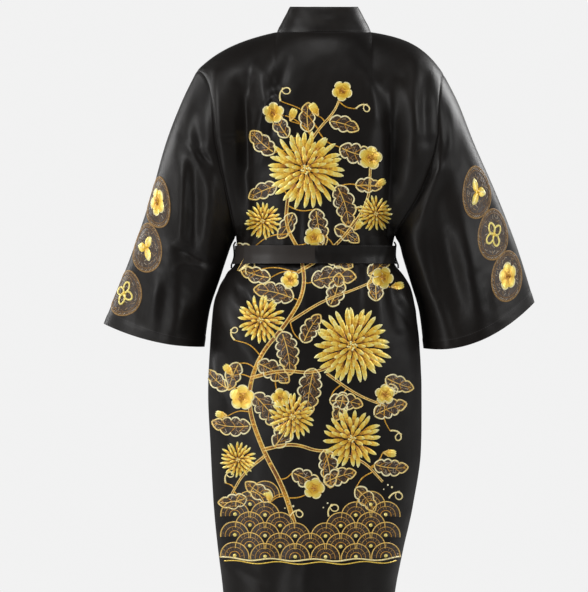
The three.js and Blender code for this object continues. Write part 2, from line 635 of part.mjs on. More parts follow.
function sleeveGrid(side) {
  const rings = sleeveRings(side);
  return rings.map((ring, i) => ring.map((outer, j) => {
    const { face, height } = ARM_STOPS[j];
    const n = i > 0 ? sleeveNormal(rings, side, i, j) : armholeMitre(side, face, height);
    return { outer, inner: outer.clone().addScaledVector(n, -WALL) };
  }));
}

// The line along which the neckband is sewn, from the right hem round the neckline to the left hem. Stand is
// 1 where the band stands up round the neckline and 0 where it lies flat on a front.
function bandSeam() {
  const stops = [];
  const addFront = (side, height) => {
    const angle = edgeAngle(side, height);
    const stand = ease(BAND_TURN.lies, BAND_TURN.stands, height);
    stops.push({ side, angle, height, panel: FRONT[side], stand });
  };
  HEIGHTS.slice(0, -1).forEach((height) => addFront("right", height));
  NECK_ANGLES.forEach((angle) => {
    stops.push({ side: sideOf(angle), angle, height: 0, panel: BACK, stand: 1 });
  });
  HEIGHTS.slice(0, -1).reverse().forEach((height) => addFront("left", height));
  return stops;
}

// A point of the neckband's outer face, a given way across it from the seam.
function bandPoint(stop, across) {
  const { panel, angle, height, side } = stop;
  const seam = clothPoint(panel, angle, height);
  const inwards = new THREE.Vector3(-seam.x, (BAND_MIDDLE_Y - seam.y) * BAND_DEPTH_TAPER, 0);
  const lean = inwards.multiplyScalar((NECK_HALF - BAND_TOP_HALF) / NECK_HALF);
  const standing = seam.clone().add(lean.multiplyScalar(across / BAND_WIDTH));
  standing.z += across;
  if (stop.stand === 1) return standing;
  const above = Math.min(-1, height + RUN_STEP);
  const below = Math.max(HEM, above - 2 * RUN_STEP);
  const next = clothPoint(panel, edgeAngle(side, above), above);
  const before = clothPoint(panel, edgeAngle(side, below), below);
  const run = next.sub(before).normalize();
  const oneOn = clothPoint(panel, angle + 1, height);
  const perDegree = oneOn.sub(clothPoint(panel, angle - 1, height)).length() / 2;
  const slant = Math.hypot(run.x, run.y);
  const sign = signOf(side);
  const along = across * Math.abs(run.z);
  const rise = across * slant * Math.min(1, -height / BAND_SLANT_DEPTH);
  const lying = clothPoint(panel, angle - (sign * along) / perDegree, Math.min(-1, height + rise));
  return lying.lerp(standing, stop.stand);
}

function bandGrid() {
  const stops = bandSeam();
  const widths = spread(0, BAND_WIDTH, BAND_COLUMNS);
  const outer = stops.map((stop) => widths.map((w) => bandPoint(stop, w)));
  return outer.map((row, i) => row.map((p, j) => {
    const along = outer[Math.min(i + 1, outer.length - 1)][j].clone().sub(outer[Math.max(i - 1, 0)][j]);
    const across = row[Math.min(j + 1, BAND_COLUMNS)].clone().sub(row[Math.max(j - 1, 0)]);
    const n = across.cross(along).normalize();
    const stop = stops[i];
    if (j > 0) return { outer: p, inner: p.clone().addScaledVector(n, -BAND_WALL) };
    const edge = wallPair(stop.panel, stop.angle, stop.height);
    return { outer: edge.outer, inner: edge.inner };
  }));
}

// A point outside the robe's waist. Around runs from 0 at the middle of the back to 180 at the middle of the
// front, positive towards +X. Off is the distance from the cloth.
function roundWaist(around, height, off) {
  const face = Math.abs(around) <= SIDE ? 1 : -1;
  const sign = around < 0 ? -1 : 1;
  const angle = face > 0 ? around : sign * (2 * SIDE - Math.abs(around));
  const bare = (a, h) => bareBody(face, a, h);
  const atSide = Math.abs(around) === SIDE;
  const limits = bodyLimits(height);
  const n = atSide ? new THREE.Vector3(sign, 0, 0) : outward(bare, angle, height, limits, -face);
  const over = ease(WRAP.starts, WRAP.full, angle) * ease(-SIDE, WRAP.otherEnd, angle);
  const lift = face > 0 ? 0 : WRAP_LIFT * over;
  return bare(angle, height).addScaledVector(n, off + lift);
}

// The belt's stretch round the waist.
function beltGrid() {
  const heights = spread(BELT_MIDDLE - BELT_WIDTH / 2, BELT_MIDDLE + BELT_WIDTH / 2, BELT_ROWS);
  const arounds = spread(-2 * SIDE, 2 * SIDE, BELT_COLUMNS).slice(0, -1);
  return heights.map((height) => arounds.map((around) => ({
    outer: roundWaist(around, height, BELT_OFF + BELT_WALL),
    inner: roundWaist(around, height, BELT_OFF),
  })));
}

// A thread loop at a side seam, sewn to the robe above and below the belt, which it carries.
function loopGrid(side) {
  const sign = signOf(side);
  return Array.from({ length: LOOP_ROWS + 1 }, (_, i) => {
    const t = i / LOOP_ROWS;
    const height = BELT_MIDDLE + LOOP_LENGTH * (t - 0.5);
    const over = ease(0, LOOP_SEWN, t) * ease(1, 1 - LOOP_SEWN, t);
    const off = LOOP_OFF + over * (BELT_OFF + BELT_WALL + SEAM_GAP);
    const at = roundWaist(sign * SIDE, height, off);
    return [-1, 1].map((end) => {
      const inner = at.clone().add(new THREE.Vector3(0, (-sign * end * LOOP_WIDTH) / 2, 0));
      return { outer: inner.clone().add(new THREE.Vector3(sign * WALL, 0, 0)), inner };
    });
  });
}

// How far forward the belt reaches behind the knot.
function beltFront() {
  const reach = [];
  for (const across of [-0.5, -0.25, 0, 0.25, 0.5]) {
    for (const up of [-0.5, 0, 0.5]) {
      const height = BELT_MIDDLE + up * BELT_WIDTH;
      const around = 2 * SIDE - angleAt(KNOT.x + across * KNOT.wide, height);
      reach.push(roundWaist(around, height, BELT_OFF + BELT_WALL).y);
    }
  }
  return Math.min(...reach);
}

// The tied knot, a rounded lump with two grooves, flat behind where it lies on the belt and flat below.
function knotShape() {
  const ball = new THREE.SphereGeometry(1, KNOT_STEPS.round, KNOT_STEPS.up);
  const p = ball.getAttribute("position");
  const soften = (v, power) => Math.sign(v) * Math.abs(v) ** power;
  for (let i = 0; i < p.count; i += 1) {
    const [x, y, z] = [p.getX(i), p.getY(i), p.getZ(i)];
    const fromGroove = (Math.abs(x) - KNOT.grooveAt) / KNOT.grooveWide;
    const groove = 1 - KNOT.groove * Math.exp(-(fromGroove ** 2));
    const out = Math.max(-0.5, soften(z, KNOT_SOFTNESS.front) * groove);
    const up = Math.max(-KNOT.flat, soften(y, KNOT_SOFTNESS.side));
    const aside = soften(x, KNOT_SOFTNESS.side);
    p.setXYZ(i, (aside * KNOT.wide) / 2, (-out * KNOT.deep) / 2, (up * KNOT.high) / 2);
  }
  ball.translate(KNOT.x, beltFront() - SEAM_GAP - KNOT.deep / 4, BELT_MIDDLE);
  return facingOut(ball);
}

// A hanging end of the belt leaves the knot narrow, widens and lies on the skirt.
function tailGrid(side) {
  const tail = TAILS[side];
  const top = BELT_MIDDLE - (KNOT.flat * KNOT.high) / 2 - SEAM_GAP;
  const knotFace = beltFront() - KNOT.deep / 4;
  return Array.from({ length: TAIL_ROWS + 1 }, (_, i) => {
    const t = i / TAIL_ROWS;
    const z = top - t * tail.length;
    const width = mix(TAIL_TOP_WIDTH, BELT_WIDTH, ease(0, TAIL_SHAPE.widens, t));
    return Array.from({ length: TAIL_COLUMNS + 1 }, (__, j) => {
      const c = j / TAIL_COLUMNS - 0.5;
      const x = KNOT.x + mix(tail.from, tail.to, t ** TAIL_SHAPE.spread) + c * width;
      const swing = 1 + Math.sin(TAIL_SHAPE.waveTurns * t + TAIL_SHAPE.waveSlant * c);
      const wave = tail.wave * swing * ease(0, TAIL_SHAPE.waves, t);
      const skirt = clothPoint(FRONT.left, angleAt(x, z), z).y - LAY_GAP - wave;
      const y = mix(knotFace, skirt, ease(0, TAIL_SHAPE.drops, t));
      return { outer: new THREE.Vector3(x, y - BELT_WALL, z), inner: new THREE.Vector3(x, y, z) };
    });
  });
}

const cloth = new THREE.MeshStandardMaterial({ color: 0x1d1a1a, roughness: 0.38, metalness: 0 });
const bandCloth = new THREE.MeshStandardMaterial({ color: 0x221f1f, roughness: 0.36, metalness: 0 });

const robe = new THREE.Group();

function addPiece(name, geometry, material) {
  const mesh = new THREE.Mesh(geometry, material);
  mesh.name = name;
  robe.add(mesh);
}

addPiece("back", solidWall(openSeams(backGrid(), { start: true, end: true, top: true })), cloth);
for (const side of ["left", "right"]) {
  const front = openSeams(frontGrid(side), { start: true, end: true, top: true });
  addPiece(`front_${side}`, solidWall(front), cloth);
  addPiece(`sleeve_${side}`, solidWall(openSeams(sleeveGrid(side), { bottom: true }), true), cloth);
  addPiece(`belt_loop_${side}`, solidWall(loopGrid(side)), bandCloth);
}
addPiece("neckband", solidWall(openSeams(bandGrid(), { start: true })), bandCloth);
addPiece("belt", solidWall(beltGrid(), true), bandCloth);
addPiece("belt_knot", knotShape(), bandCloth);
for (const side of ["left", "right"]) addPiece(`belt_end_${side}`, solidWall(tailGrid(side)), bandCloth);

export default robe;
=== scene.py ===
# %% [markdown]
# # A black satin kimono robe in its worn shape, seen from behind
#
# This lesson dresses a wrap robe in Blender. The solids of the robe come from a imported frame, which fixes
# the size and place of every piece. Here each cloth piece becomes a fine thin shell on the same form, with
# creases, hems, stitching, satin and raised embroidery.
#
# Lengths in the tables are millimetres, because a maker reads them that way. Blender works in metres, so
# every mesh is scaled by one named factor when it is made. +Z is up, -Y is the front of the robe and +X is
# its own left side. The camera stands behind the robe.

import math

import bpy
import numpy as np
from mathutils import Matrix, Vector
from mathutils.bvhtree import BVHTree


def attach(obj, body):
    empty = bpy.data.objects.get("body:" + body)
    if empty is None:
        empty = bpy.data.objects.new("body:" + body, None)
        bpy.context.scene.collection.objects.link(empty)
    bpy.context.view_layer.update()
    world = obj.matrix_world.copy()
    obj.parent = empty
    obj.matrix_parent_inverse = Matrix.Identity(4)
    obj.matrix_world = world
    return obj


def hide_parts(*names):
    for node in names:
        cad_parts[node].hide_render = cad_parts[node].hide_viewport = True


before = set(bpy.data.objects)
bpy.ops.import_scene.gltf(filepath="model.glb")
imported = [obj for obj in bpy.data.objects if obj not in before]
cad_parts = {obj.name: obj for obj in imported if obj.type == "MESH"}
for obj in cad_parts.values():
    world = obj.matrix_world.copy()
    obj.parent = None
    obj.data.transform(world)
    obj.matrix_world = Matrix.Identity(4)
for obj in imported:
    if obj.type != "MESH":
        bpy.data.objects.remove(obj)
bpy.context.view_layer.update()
MM = 0.001
print("nodes:", sorted(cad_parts))

# %% [markdown]
# ## Camera first
#
# The photograph was taken with a long lens from behind, level with the waist. It cuts the robe off above
# its hem. A camera far away with a narrow field of view gives the same flat perspective. One pixel of the
# 588 x 592 picture covers 1.95 mm at the robe, so the lens follows from the picture's height and the
# camera's distance.

# %% Camera behind the robe
PIXEL = 1.95
PICTURE_HEIGHT = 592
PICTURE_MIDDLE_X = 58.5
PICTURE_MIDDLE_Z = -511.0
CAMERA_DISTANCE = 7.0
SENSOR = 24.0

camera_data = bpy.data.cameras.new("camera")
camera_data.sensor_fit = "VERTICAL"
camera_data.sensor_height = SENSOR
camera_data.lens = SENSOR * CAMERA_DISTANCE / (PIXEL * PICTURE_HEIGHT * MM)
camera = bpy.data.objects.new("camera", camera_data)
camera.location = (PICTURE_MIDDLE_X * MM, CAMERA_DISTANCE, PICTURE_MIDDLE_Z * MM)
camera.rotation_euler = (math.radians(90), 0, math.radians(180))
bpy.context.scene.collection.objects.link(camera)
bpy.context.scene.camera = camera
print(f"lens {camera_data.lens:.1f} mm at {CAMERA_DISTANCE} m")

# %% [markdown]
# ## Sizes of the robe
#
# Most of these driving sizes and short tables also shape the solids. The cloth itself is thinner here. Each
# row of a table is one horizontal section of the body, one stop along an armhole or one section of a
# sleeve.

# %% Driving sizes, in millimetres
CLOTH = 1.0
BAND_CLOTH = 2.2
BELT_CLOTH = 2.0
LAY_GAP = 0.8
HEM = -1165
UNDERARM = -395
YOKE = -200
SIDES = ((1, "left"), (-1, "right"))
NECK_ANGLE = 30
NECK_HALF = 92
NECK_BACK = 62
NECK_FRONT = 46
NECK_TOP = 3
NECK_DROP_BACK = 4
NECK_DROP_FRONT = 34
BAND_WIDTH = 50
BAND_TOP_HALF = 66
BELT_MIDDLE = -431
BELT_WIDTH = 36
BELT_OFF = 1.6
BELT_GRIP = 28
WRAP_LIFT = 6
WRAP_STARTS = 72
WRAP_FULL = 38
WRAP_UNDER = -60
WRAP_TOP = (-20, -170)
SIDE = 90
SQUARENESS = 2.3
SHOULDER_ROUND = 2.2
SHOULDER_FALL = (1.15, 3.6)  # powers of its even fall and of its steep end
SLEEVE_BLEND = 0.42
HALF_LOOP = 13
KNOT = {"x": 6, "wide": 52, "high": 46, "flat": 0.8}

BODY_COLUMNS = ("z", "middle", "half", "back", "front")
BODY = [
    (-1165, 31, 160, 98, 100),
    (-1084, 29, 168, 102, 102),
    (-1002, 26, 181, 107, 105),
    (-920, 21, 194, 113, 108),
    (-811, 16, 205, 122, 113),
    (-700, 18, 208, 130, 117),
    (-603, 18, 204, 134, 118),
    (-538, 19, 197, 130, 115),
    (-495, 18, 187, 121, 111),
    (-468, 18, 171, 109, 106),
    (-449, 18, 156, 99, 102),
    (-431, 18, 151, 96, 101),
    (-413, 18, 152, 98, 103),
    (-395, 17, 155, 101, 105),
    (-330, 13, 158, 110, 112),
    (-260, 9, 160, 118, 117),
    (-200, 5, 162, 121, 118),
]
ARMHOLE_COLUMNS = ("z", "out", "back", "front", "turn")
ARMHOLE = {
    1: [
        (-395, 172, 0, 0, 90),
        (-378, 177, 25, 21, 82),
        (-350, 184, 45, 38, 74),
        (-300, 194, 63, 53, 66),
        (-250, 203, 73, 62, 60),
        (-200, 212, 78, 66, 56),
    ],
    -1: [
        (-395, 138, 0, 0, 90),
        (-378, 148, 25, 21, 82),
        (-350, 166, 45, 38, 74),
        (-300, 192, 63, 53, 66),
        (-250, 210, 73, 62, 60),
        (-200, 220, 78, 66, 56),
    ],
}
SHOULDER_TIP = {1: {"out": 248, "z": -72, "droop": 0.6}, -1: {"out": 234, "z": -80, "droop": 0.38}}
ARMHOLE_ROWS = (-395, -386, -372, -352, -326, -296, -264, -232, -200, -162, -124, -84, -42, 0)
SLEEVE_COLUMNS = ("s", "x1", "z1", "x2", "z2", "back", "front", "lean", "full", "sag")
SLEEVE = {
    1: [
        (0, 248, -72, 172, -395, 80, 66, 0, 0.25, 0),
        (0.125, 276, -129, 180, -410, 80, 70, -2, 0.2, 0),
        (0.29, 308, -211, 188, -432, 74, 70, -6, 0.12, 0),
        (0.505, 339, -320, 204, -480, 68, 68, -11, 0, 2),
        (0.725, 376, -429, 223, -538, 68, 68, -15, -0.15, 6),
        (1, 430, -565, 234, -610, 74, 72, -18, -0.3, 11),
    ],
    -1: [
        (0, 234, -80, 138, -395, 80, 66, 0, 0.25, 0),
        (0.125, 261, -133, 147, -410, 80, 70, -2, 0.2, 2),
        (0.29, 292, -211, 154, -436, 76, 70, -6, 0.12, 6),
        (0.505, 339, -318, 169, -484, 72, 68, -11, 0, 14),
        (0.74, 381, -427, 186, -542, 72, 68, -15, -0.12, 24),
        (1, 411, -523, 195, -613, 78, 72, -18, -0.25, 29),
    ],
}
FRONT_EDGE_COLUMNS = ("z", "across")
FRONT_EDGE = [
    (-1165, -72), (-700, -66), (-500, -58), (-427, -48), (-360, -24),
    (-280, 8), (-200, 42), (-140, 62), (-80, 78), (0, 92),
]
print("rows:", len(BODY), "sections of the body,", len(SLEEVE[1]), "of each sleeve")

# %% [markdown]
# ## Reading a table smoothly
#
# A straight line between two rows would leave a corner at each row. A cubic curve whose slope is taken from
# the rows beside it passes through every row without a corner, and it never bulges past a row that is a
# turning point. Arrays go in and come out, so one call serves a whole mesh.

# %% Smooth tables and small helpers
def ease(start, end, x):
    t = np.clip((np.asarray(x, float) - start) / (end - start), 0, 1)
    return t * t * (3 - 2 * t)


def mix(a, b, t):
    return a + (b - a) * t


def smooth_column(rows, columns, name):
    keys = np.array([row[0] for row in rows], float)
    values = np.array([row[columns.index(name)] for row in rows], float)
    rises = np.diff(values) / np.diff(keys)
    slopes = np.empty(len(keys))
    slopes[0], slopes[-1] = rises[0], rises[-1]
    product = rises[:-1] * rises[1:]
    total = np.where(rises[:-1] + rises[1:] == 0, 1, rises[:-1] + rises[1:])
    slopes[1:-1] = np.where(product > 0, 2 * product / total, 0)

    def read(at):
        at = np.clip(np.asarray(at, float), keys[0], keys[-1])
        i = np.clip(np.searchsorted(keys, at, side="left") - 1, 0, len(keys) - 2)
        span = keys[i + 1] - keys[i]
        t = (at - keys[i]) / span
        a, b, p, q = values[i], values[i + 1], slopes[i] * span, slopes[i + 1] * span
        return ((2 * t**3 - 3 * t**2 + 1) * a + (t**3 - 2 * t**2 + t) * p
                + (3 * t**2 - 2 * t**3) * b + (t**3 - t**2) * q)

    return read


def smooth_table(rows, columns):
    return {name: smooth_column(rows, columns, name) for name in columns[1:]}


body = smooth_table(BODY, BODY_COLUMNS)
armhole = {side: smooth_table(rows, ARMHOLE_COLUMNS) for side, rows in ARMHOLE.items()}
sleeve = {side: smooth_table(rows, SLEEVE_COLUMNS) for side, rows in SLEEVE.items()}
front_edge = smooth_table(FRONT_EDGE, FRONT_EDGE_COLUMNS)
print("half width at the hips:", round(float(body["half"](-700)), 1), "mm")

# %% [markdown]
# ## The bare form of the body
#
# The body is a stack of rounded sections. The angle runs from 0 in the middle of the back (or of the front)
# to 90 at the side seam or the armhole. Above the yoke the surface turns over the shoulder to the shoulder
# seam and the neckline. `face` is +1 for the back and -1 for the front.

# %% Sections, shoulders and the outward direction
def points(x, y, z):
    return np.stack(np.broadcast_arrays(x, y, z), axis=-1).astype(float)


def by_side(angle, read):
    return np.where(angle >= 0, read(1), read(-1))


def section_point(face, angle, z):
    """A point of the body below the yoke, on its rounded section at one height."""
    sign = np.where(angle >= 0, 1, -1)
    middle = body["middle"](z)
    depth = body["back" if face > 0 else "front"](z)
    above = z > UNDERARM
    hole_out = sign * by_side(angle, lambda side: armhole[side]["out"](z))
    hole_depth = by_side(angle, lambda side: armhole[side]["back" if face > 0 else "front"](z))
    hole_turn = by_side(angle, lambda side: armhole[side]["turn"](z))
    out = np.where(above, hole_out, middle + sign * body["half"](z))
    edge_depth = np.where(above, hole_depth, 0)
    turn = np.radians(np.where(above, hole_turn, SIDE))
    a = np.abs(angle) / SIDE * turn
    across = (np.sin(a) / np.sin(turn)) ** (2 / SQUARENESS)
    deep = np.maximum(0, (np.cos(a) - np.cos(turn)) / (1 - np.cos(turn))) ** (2 / SQUARENESS)
    return points(mix(middle, out, across), face * mix(edge_depth, depth, deep), z)


def top_point(face, angle):
    """A point of the upper edge: the neckline, then the shoulder seam out to its tip."""
    sign = np.where(angle >= 0, 1, -1)
    neck = np.radians(90 * np.clip(np.abs(angle) / NECK_ANGLE, 0, 1))
    depth = NECK_BACK if face > 0 else NECK_FRONT
    drop = NECK_DROP_BACK if face > 0 else NECK_DROP_FRONT
    height = NECK_TOP - drop * np.cos(neck)
    neckline = points(sign * NECK_HALF * np.sin(neck), face * depth * np.cos(neck), height)
    t = np.clip((np.abs(angle) - NECK_ANGLE) / (SIDE - NECK_ANGLE), 0, 1)
    tip_out = by_side(angle, lambda side: SHOULDER_TIP[side]["out"])
    tip_z = by_side(angle, lambda side: SHOULDER_TIP[side]["z"])
    droop = by_side(angle, lambda side: SHOULDER_TIP[side]["droop"])
    even, steep = SHOULDER_FALL
    slope = droop * t**even + (1 - droop) * t**steep
    shoulder = points(sign * mix(NECK_HALF, tip_out, t), 0, mix(NECK_TOP, tip_z, slope))
    return np.where((np.abs(angle) < NECK_ANGLE)[..., None], neckline, shoulder)


def bare_body(face, angle, height):
    """A point of the body without folds. Past the yoke, height leads over the shoulder to its seam at 0."""
    angle, height = np.broadcast_arrays(np.asarray(angle, float), np.asarray(height, float))
    low = section_point(face, angle, np.minimum(height, YOKE))
    top = top_point(face, angle)
    turn = np.radians(90 * np.clip((height - YOKE) / -YOKE, 0, 1))
    round_off = 2 / SHOULDER_ROUND
    up = np.sin(turn) ** round_off
    deep = np.maximum(0, np.cos(turn)) ** round_off
    x = mix(top[..., 0], low[..., 0], np.cos(turn))
    return points(x, mix(top[..., 1], low[..., 1], deep), mix(low[..., 2], top[..., 2], up))


def unit(v):
    return v / np.maximum(np.linalg.norm(v, axis=-1, keepdims=True), 1e-9)


STEP_ANGLE = 0.6
STEP_HEIGHT = 2


def outward(face, angle, height):
    """The direction away from the robe, from two short steps along the surface."""
    above = height > UNDERARM + 1
    low = np.where(above, UNDERARM, HEM)
    high = np.where(above, 0, UNDERARM)
    a0, a1 = np.maximum(-SIDE, angle - STEP_ANGLE), np.minimum(SIDE, angle + STEP_ANGLE)
    b0, b1 = np.maximum(low, height - STEP_HEIGHT), np.minimum(high, height + STEP_HEIGHT)
    along = bare_body(face, a1, height) - bare_body(face, a0, height)
    up = bare_body(face, angle, b1) - bare_body(face, angle, b0)
    return unit(np.cross(along, up)) * -face


print("shoulder tip:", bare_body(1, 90.0, 0.0).round(1))

# %% [markdown]
# ## Folds
#
# Satin hangs in a few long soft folds and breaks into short creases where it is pulled: under the belt, at
# the armholes and where a sleeve bends. Each fold is one row: it runs from x1 z1 past x2 z2 to x3 z3, and
# its rise is the height of a ridge or, below zero, the depth of a trough. The first tables are the main
# folds, which the solids have too. The fine tables add the small creases that only the shells have.

# %% Main folds, which the solids share
BACK_FOLDS = [
    (158, -110, 163, -210, 160, -400, 15, -30),
    (-132, -120, -143, -230, -132, -400, 15, -32),
    (128, -215, 120, -150, 96, -126, 10, 7),
    (96, -126, 80, -140, 66, -182, 10, 6),
    (98, -210, 96, -180, 94, -160, 11, -7),
    (86, -30, 108, -80, 122, -150, 14, 5),
    (74, -60, 88, -110, 104, -150, 10, -5),
    (-112, -190, -108, -290, -110, -380, 12, -7),
    (120, -280, 116, -330, 110, -400, 12, -6),
    (186, -462, 150, -520, 70, -575, 13, 8),
    (180, -500, 150, -560, 90, -610, 12, -8),
    (205, -520, 180, -590, 120, -650, 14, 7),
    (214, -580, 196, -640, 160, -700, 13, -6),
    (-120, -450, -134, -500, -146, -570, 11, -9),
    (-96, -450, -106, -510, -110, -600, 12, 6),
    (190, -680, 186, -780, 182, -900, 16, 6),
    (-160, -640, -158, -780, -140, -960, 16, 5),
    (-30, -940, -44, -1050, -50, -1165, 20, 6),
    (86, -960, 92, -1060, 96, -1165, 18, -6),
]
FRONT_FOLDS = [
    (158, -120, 160, -220, 158, -400, 15, -26),
    (-132, -130, -140, -230, -130, -400, 15, -26),
    (118, -150, 108, -260, 86, -400, 14, -8),
    (-92, -150, -90, -270, -70, -400, 14, -8),
    (96, -450, 110, -560, 118, -760, 14, -9),
    (130, -450, 152, -560, 160, -720, 14, 7),
    (60, -452, 40, -620, 34, -900, 18, 7),
    (-84, -450, -104, -560, -114, -760, 14, -9),
    (-110, -450, -136, -580, -146, -780, 15, 6),
    (10, -800, 4, -980, 0, -1165, 22, -8),
    (110, -900, 118, -1040, 122, -1165, 20, 7),
]
SLEEVE_FOLDS = {
    1: [
        (238, -105, 244, -190, 234, -260, 12, -10),
        (218, -120, 214, -190, 204, -262, 10, 6),
        (208, -196, 192, -200, 172, -198, 9, -5),
        (262, -215, 246, -235, 238, -270, 10, 7),
        (274, -255, 276, -340, 276, -410, 12, 8),
        (254, -255, 252, -340, 256, -415, 12, -10),
        (228, -300, 226, -380, 230, -440, 13, 7),
        (282, -416, 256, -436, 220, -450, 8, -7),
        (284, -455, 286, -520, 290, -590, 16, 7),
        (254, -470, 256, -540, 256, -600, 14, -8),
    ],
    -1: [
        (-150, -160, -146, -200, -150, -228, 9, 7),
        (-150, -226, -186, -206, -216, -232, 9, 9),
        (-176, -252, -180, -280, -160, -330, 14, -14),
        (-216, -240, -218, -270, -190, -350, 11, 8),
        (-152, -368, -176, -450, -232, -600, 13, 9),
        (-222, -300, -232, -420, -270, -590, 20, -8),
        (-280, -400, -292, -480, -300, -575, 20, 7),
        (-236, -100, -226, -180, -222, -250, 10, -5),
    ],
}
FOLD_STEPS = 8
FOLD_ENDS = 0.55
FOLD_MIDDLE = 0.45
print("main folds:", len(BACK_FOLDS) + len(FRONT_FOLDS) + len(SLEEVE_FOLDS[1]) + len(SLEEVE_FOLDS[-1]))

# %% [markdown]
# A ridge is highest halfway along its line and lower at both ends. Across the line it falls off as a soft
# bell. The distance is measured to the nearest point of the line itself, so a long fold is even and not
# beaded.

# %% Height of the folds at a place
def fold_line(fold):
    x1, z1, x2, z2, x3, z3 = fold[:6]
    t = np.linspace(0, 1, FOLD_STEPS + 1)
    return (
        (1 - t) ** 2 * x1 + 2 * t * (1 - t) * x2 + t**2 * x3,
        (1 - t) ** 2 * z1 + 2 * t * (1 - t) * z2 + t**2 * z3,
    )


def fold_rise(folds, x, z):
    """The summed height of all folds at each place."""
    total = np.zeros(np.broadcast(x, z).shape)
    for fold in folds:
        width, rise = fold[6:]
        line_x, line_z = fold_line(fold)
        nearest = np.full(total.shape, np.inf)
        place = np.zeros(total.shape)
        for k in range(FOLD_STEPS):
            run_x, run_z = line_x[k + 1] - line_x[k], line_z[k + 1] - line_z[k]
            t = np.clip(((x - line_x[k]) * run_x + (z - line_z[k]) * run_z) / (run_x**2 + run_z**2), 0, 1)
            far = np.hypot(line_x[k] + t * run_x - x, line_z[k] + t * run_z - z)
            closer = far < nearest
            nearest = np.where(closer, far, nearest)
            place = np.where(closer, (k + t) / FOLD_STEPS, place)
        reach = width + math.hypot(fold[4] - fold[0], fold[5] - fold[1]) / (FOLD_STEPS * 4)
        along = FOLD_ENDS + FOLD_MIDDLE * np.sin(np.pi * place)
        total += rise * np.exp(-((nearest / reach) ** 2)) * along
    return total


deep_x, deep_z = np.array([161.0]), np.array([-230.0])
print("deepest fold of the back:", fold_rise(BACK_FOLDS, deep_x, deep_z).round(1), "mm")

# %% [markdown]
# ## Small creases
#
# Real satin is never quite smooth. Three things break up its shine. Short creases sit where the cloth is
# pulled. Gathers fan out above and below the belt. A faint unevenness is left everywhere from wear and
# packing. The creases are listed one by one, and the unevenness is a sum of a few waves that cross at odd
# angles.

# %% Fine creases, gathers and unevenness
FINE_BACK = [
    (-134, -170, -142, -290, -138, -402, 10, -7.0),
    (-112, -176, -118, -290, -116, -400, 9, 4.5),
    (-150, -96, -172, -150, -168, -240, 9, 4.0),
    (128, -70, 84, -160, 66, -250, 12, 4.5),
    (212, -78, 214, -150, 194, -268, 6, 5.5),
    (200, -206, 186, -208, 168, -204, 6, -4.5),
    (157, -134, 155, -190, 153, -262, 5, -6.0),
    (150, -128, 147, -180, 146, -250, 5, 4.5),
    (128, -190, 112, -146, 96, -128, 4, 5.0),
    (96, -128, 84, -136, 72, -172, 4, 4.5),
    (92, -160, 66, -190, 154, -282, 6, 3.5),
    (112, -96, 104, -126, 96, -158, 6, -4.5),
    (214, -640, 204, -690, 184, -716, 6, 3.1),
    (195, -1016, 160, -1042, 118, -1066, 7, -3.4),
    (-148, -505, -164, -530, -181, -548, 7, 3.6),
    (-150, -530, -162, -556, -178, -580, 6, -3.4),
    (176, -196, 184, -226, 176, -262, 6, 3.4),
    (60, -120, 48, -170, 40, -215, 7, 2.8),
    (140, -60, 150, -96, 146, -132, 8, -3.6),
    (112, -330, 104, -360, 108, -404, 6, 3.4),
    (-80, -84, -96, -120, -98, -172, 8, 3.4),
    (-60, -46, -86, -70, -112, -124, 8, -3.1),
    (-127, -195, -124, -300, -128, -408, 6, 3.9),
    (-176, -60, -172, -130, -178, -196, 8, 3.6),
    (-196, -90, -190, -150, -196, -214, 7, -3.6),
    (168, -760, 150, -880, 156, -980, 9, -3.6),
    (-120, -820, -128, -920, -118, -1040, 9, 3.6),
    (30, -1020, 40, -1090, 36, -1165, 10, 4.2),
    (-90, -1060, -96, -1110, -104, -1165, 9, -3.9),
]
FINE_FRONT = [
    (130, -70, 120, -140, 96, -190, 8, 3.4),
    (-120, -70, -110, -150, -82, -200, 8, -3.4),
    (40, -330, 70, -370, 84, -408, 7, 3.4),
    (-40, -330, -70, -372, -90, -408, 7, 3.1),
    (84, -462, 84, -560, 72, -680, 8, -3.9),
    (-60, -462, -70, -580, -66, -720, 8, 3.6),
    (150, -820, 132, -930, 140, -1060, 10, 3.9),
    (-140, -800, -124, -940, -128, -1100, 10, -4.2),
    (-40, -900, -50, -1020, -44, -1165, 12, 4.2),
    (70, -1000, 62, -1080, 66, -1165, 10, 3.6),
]
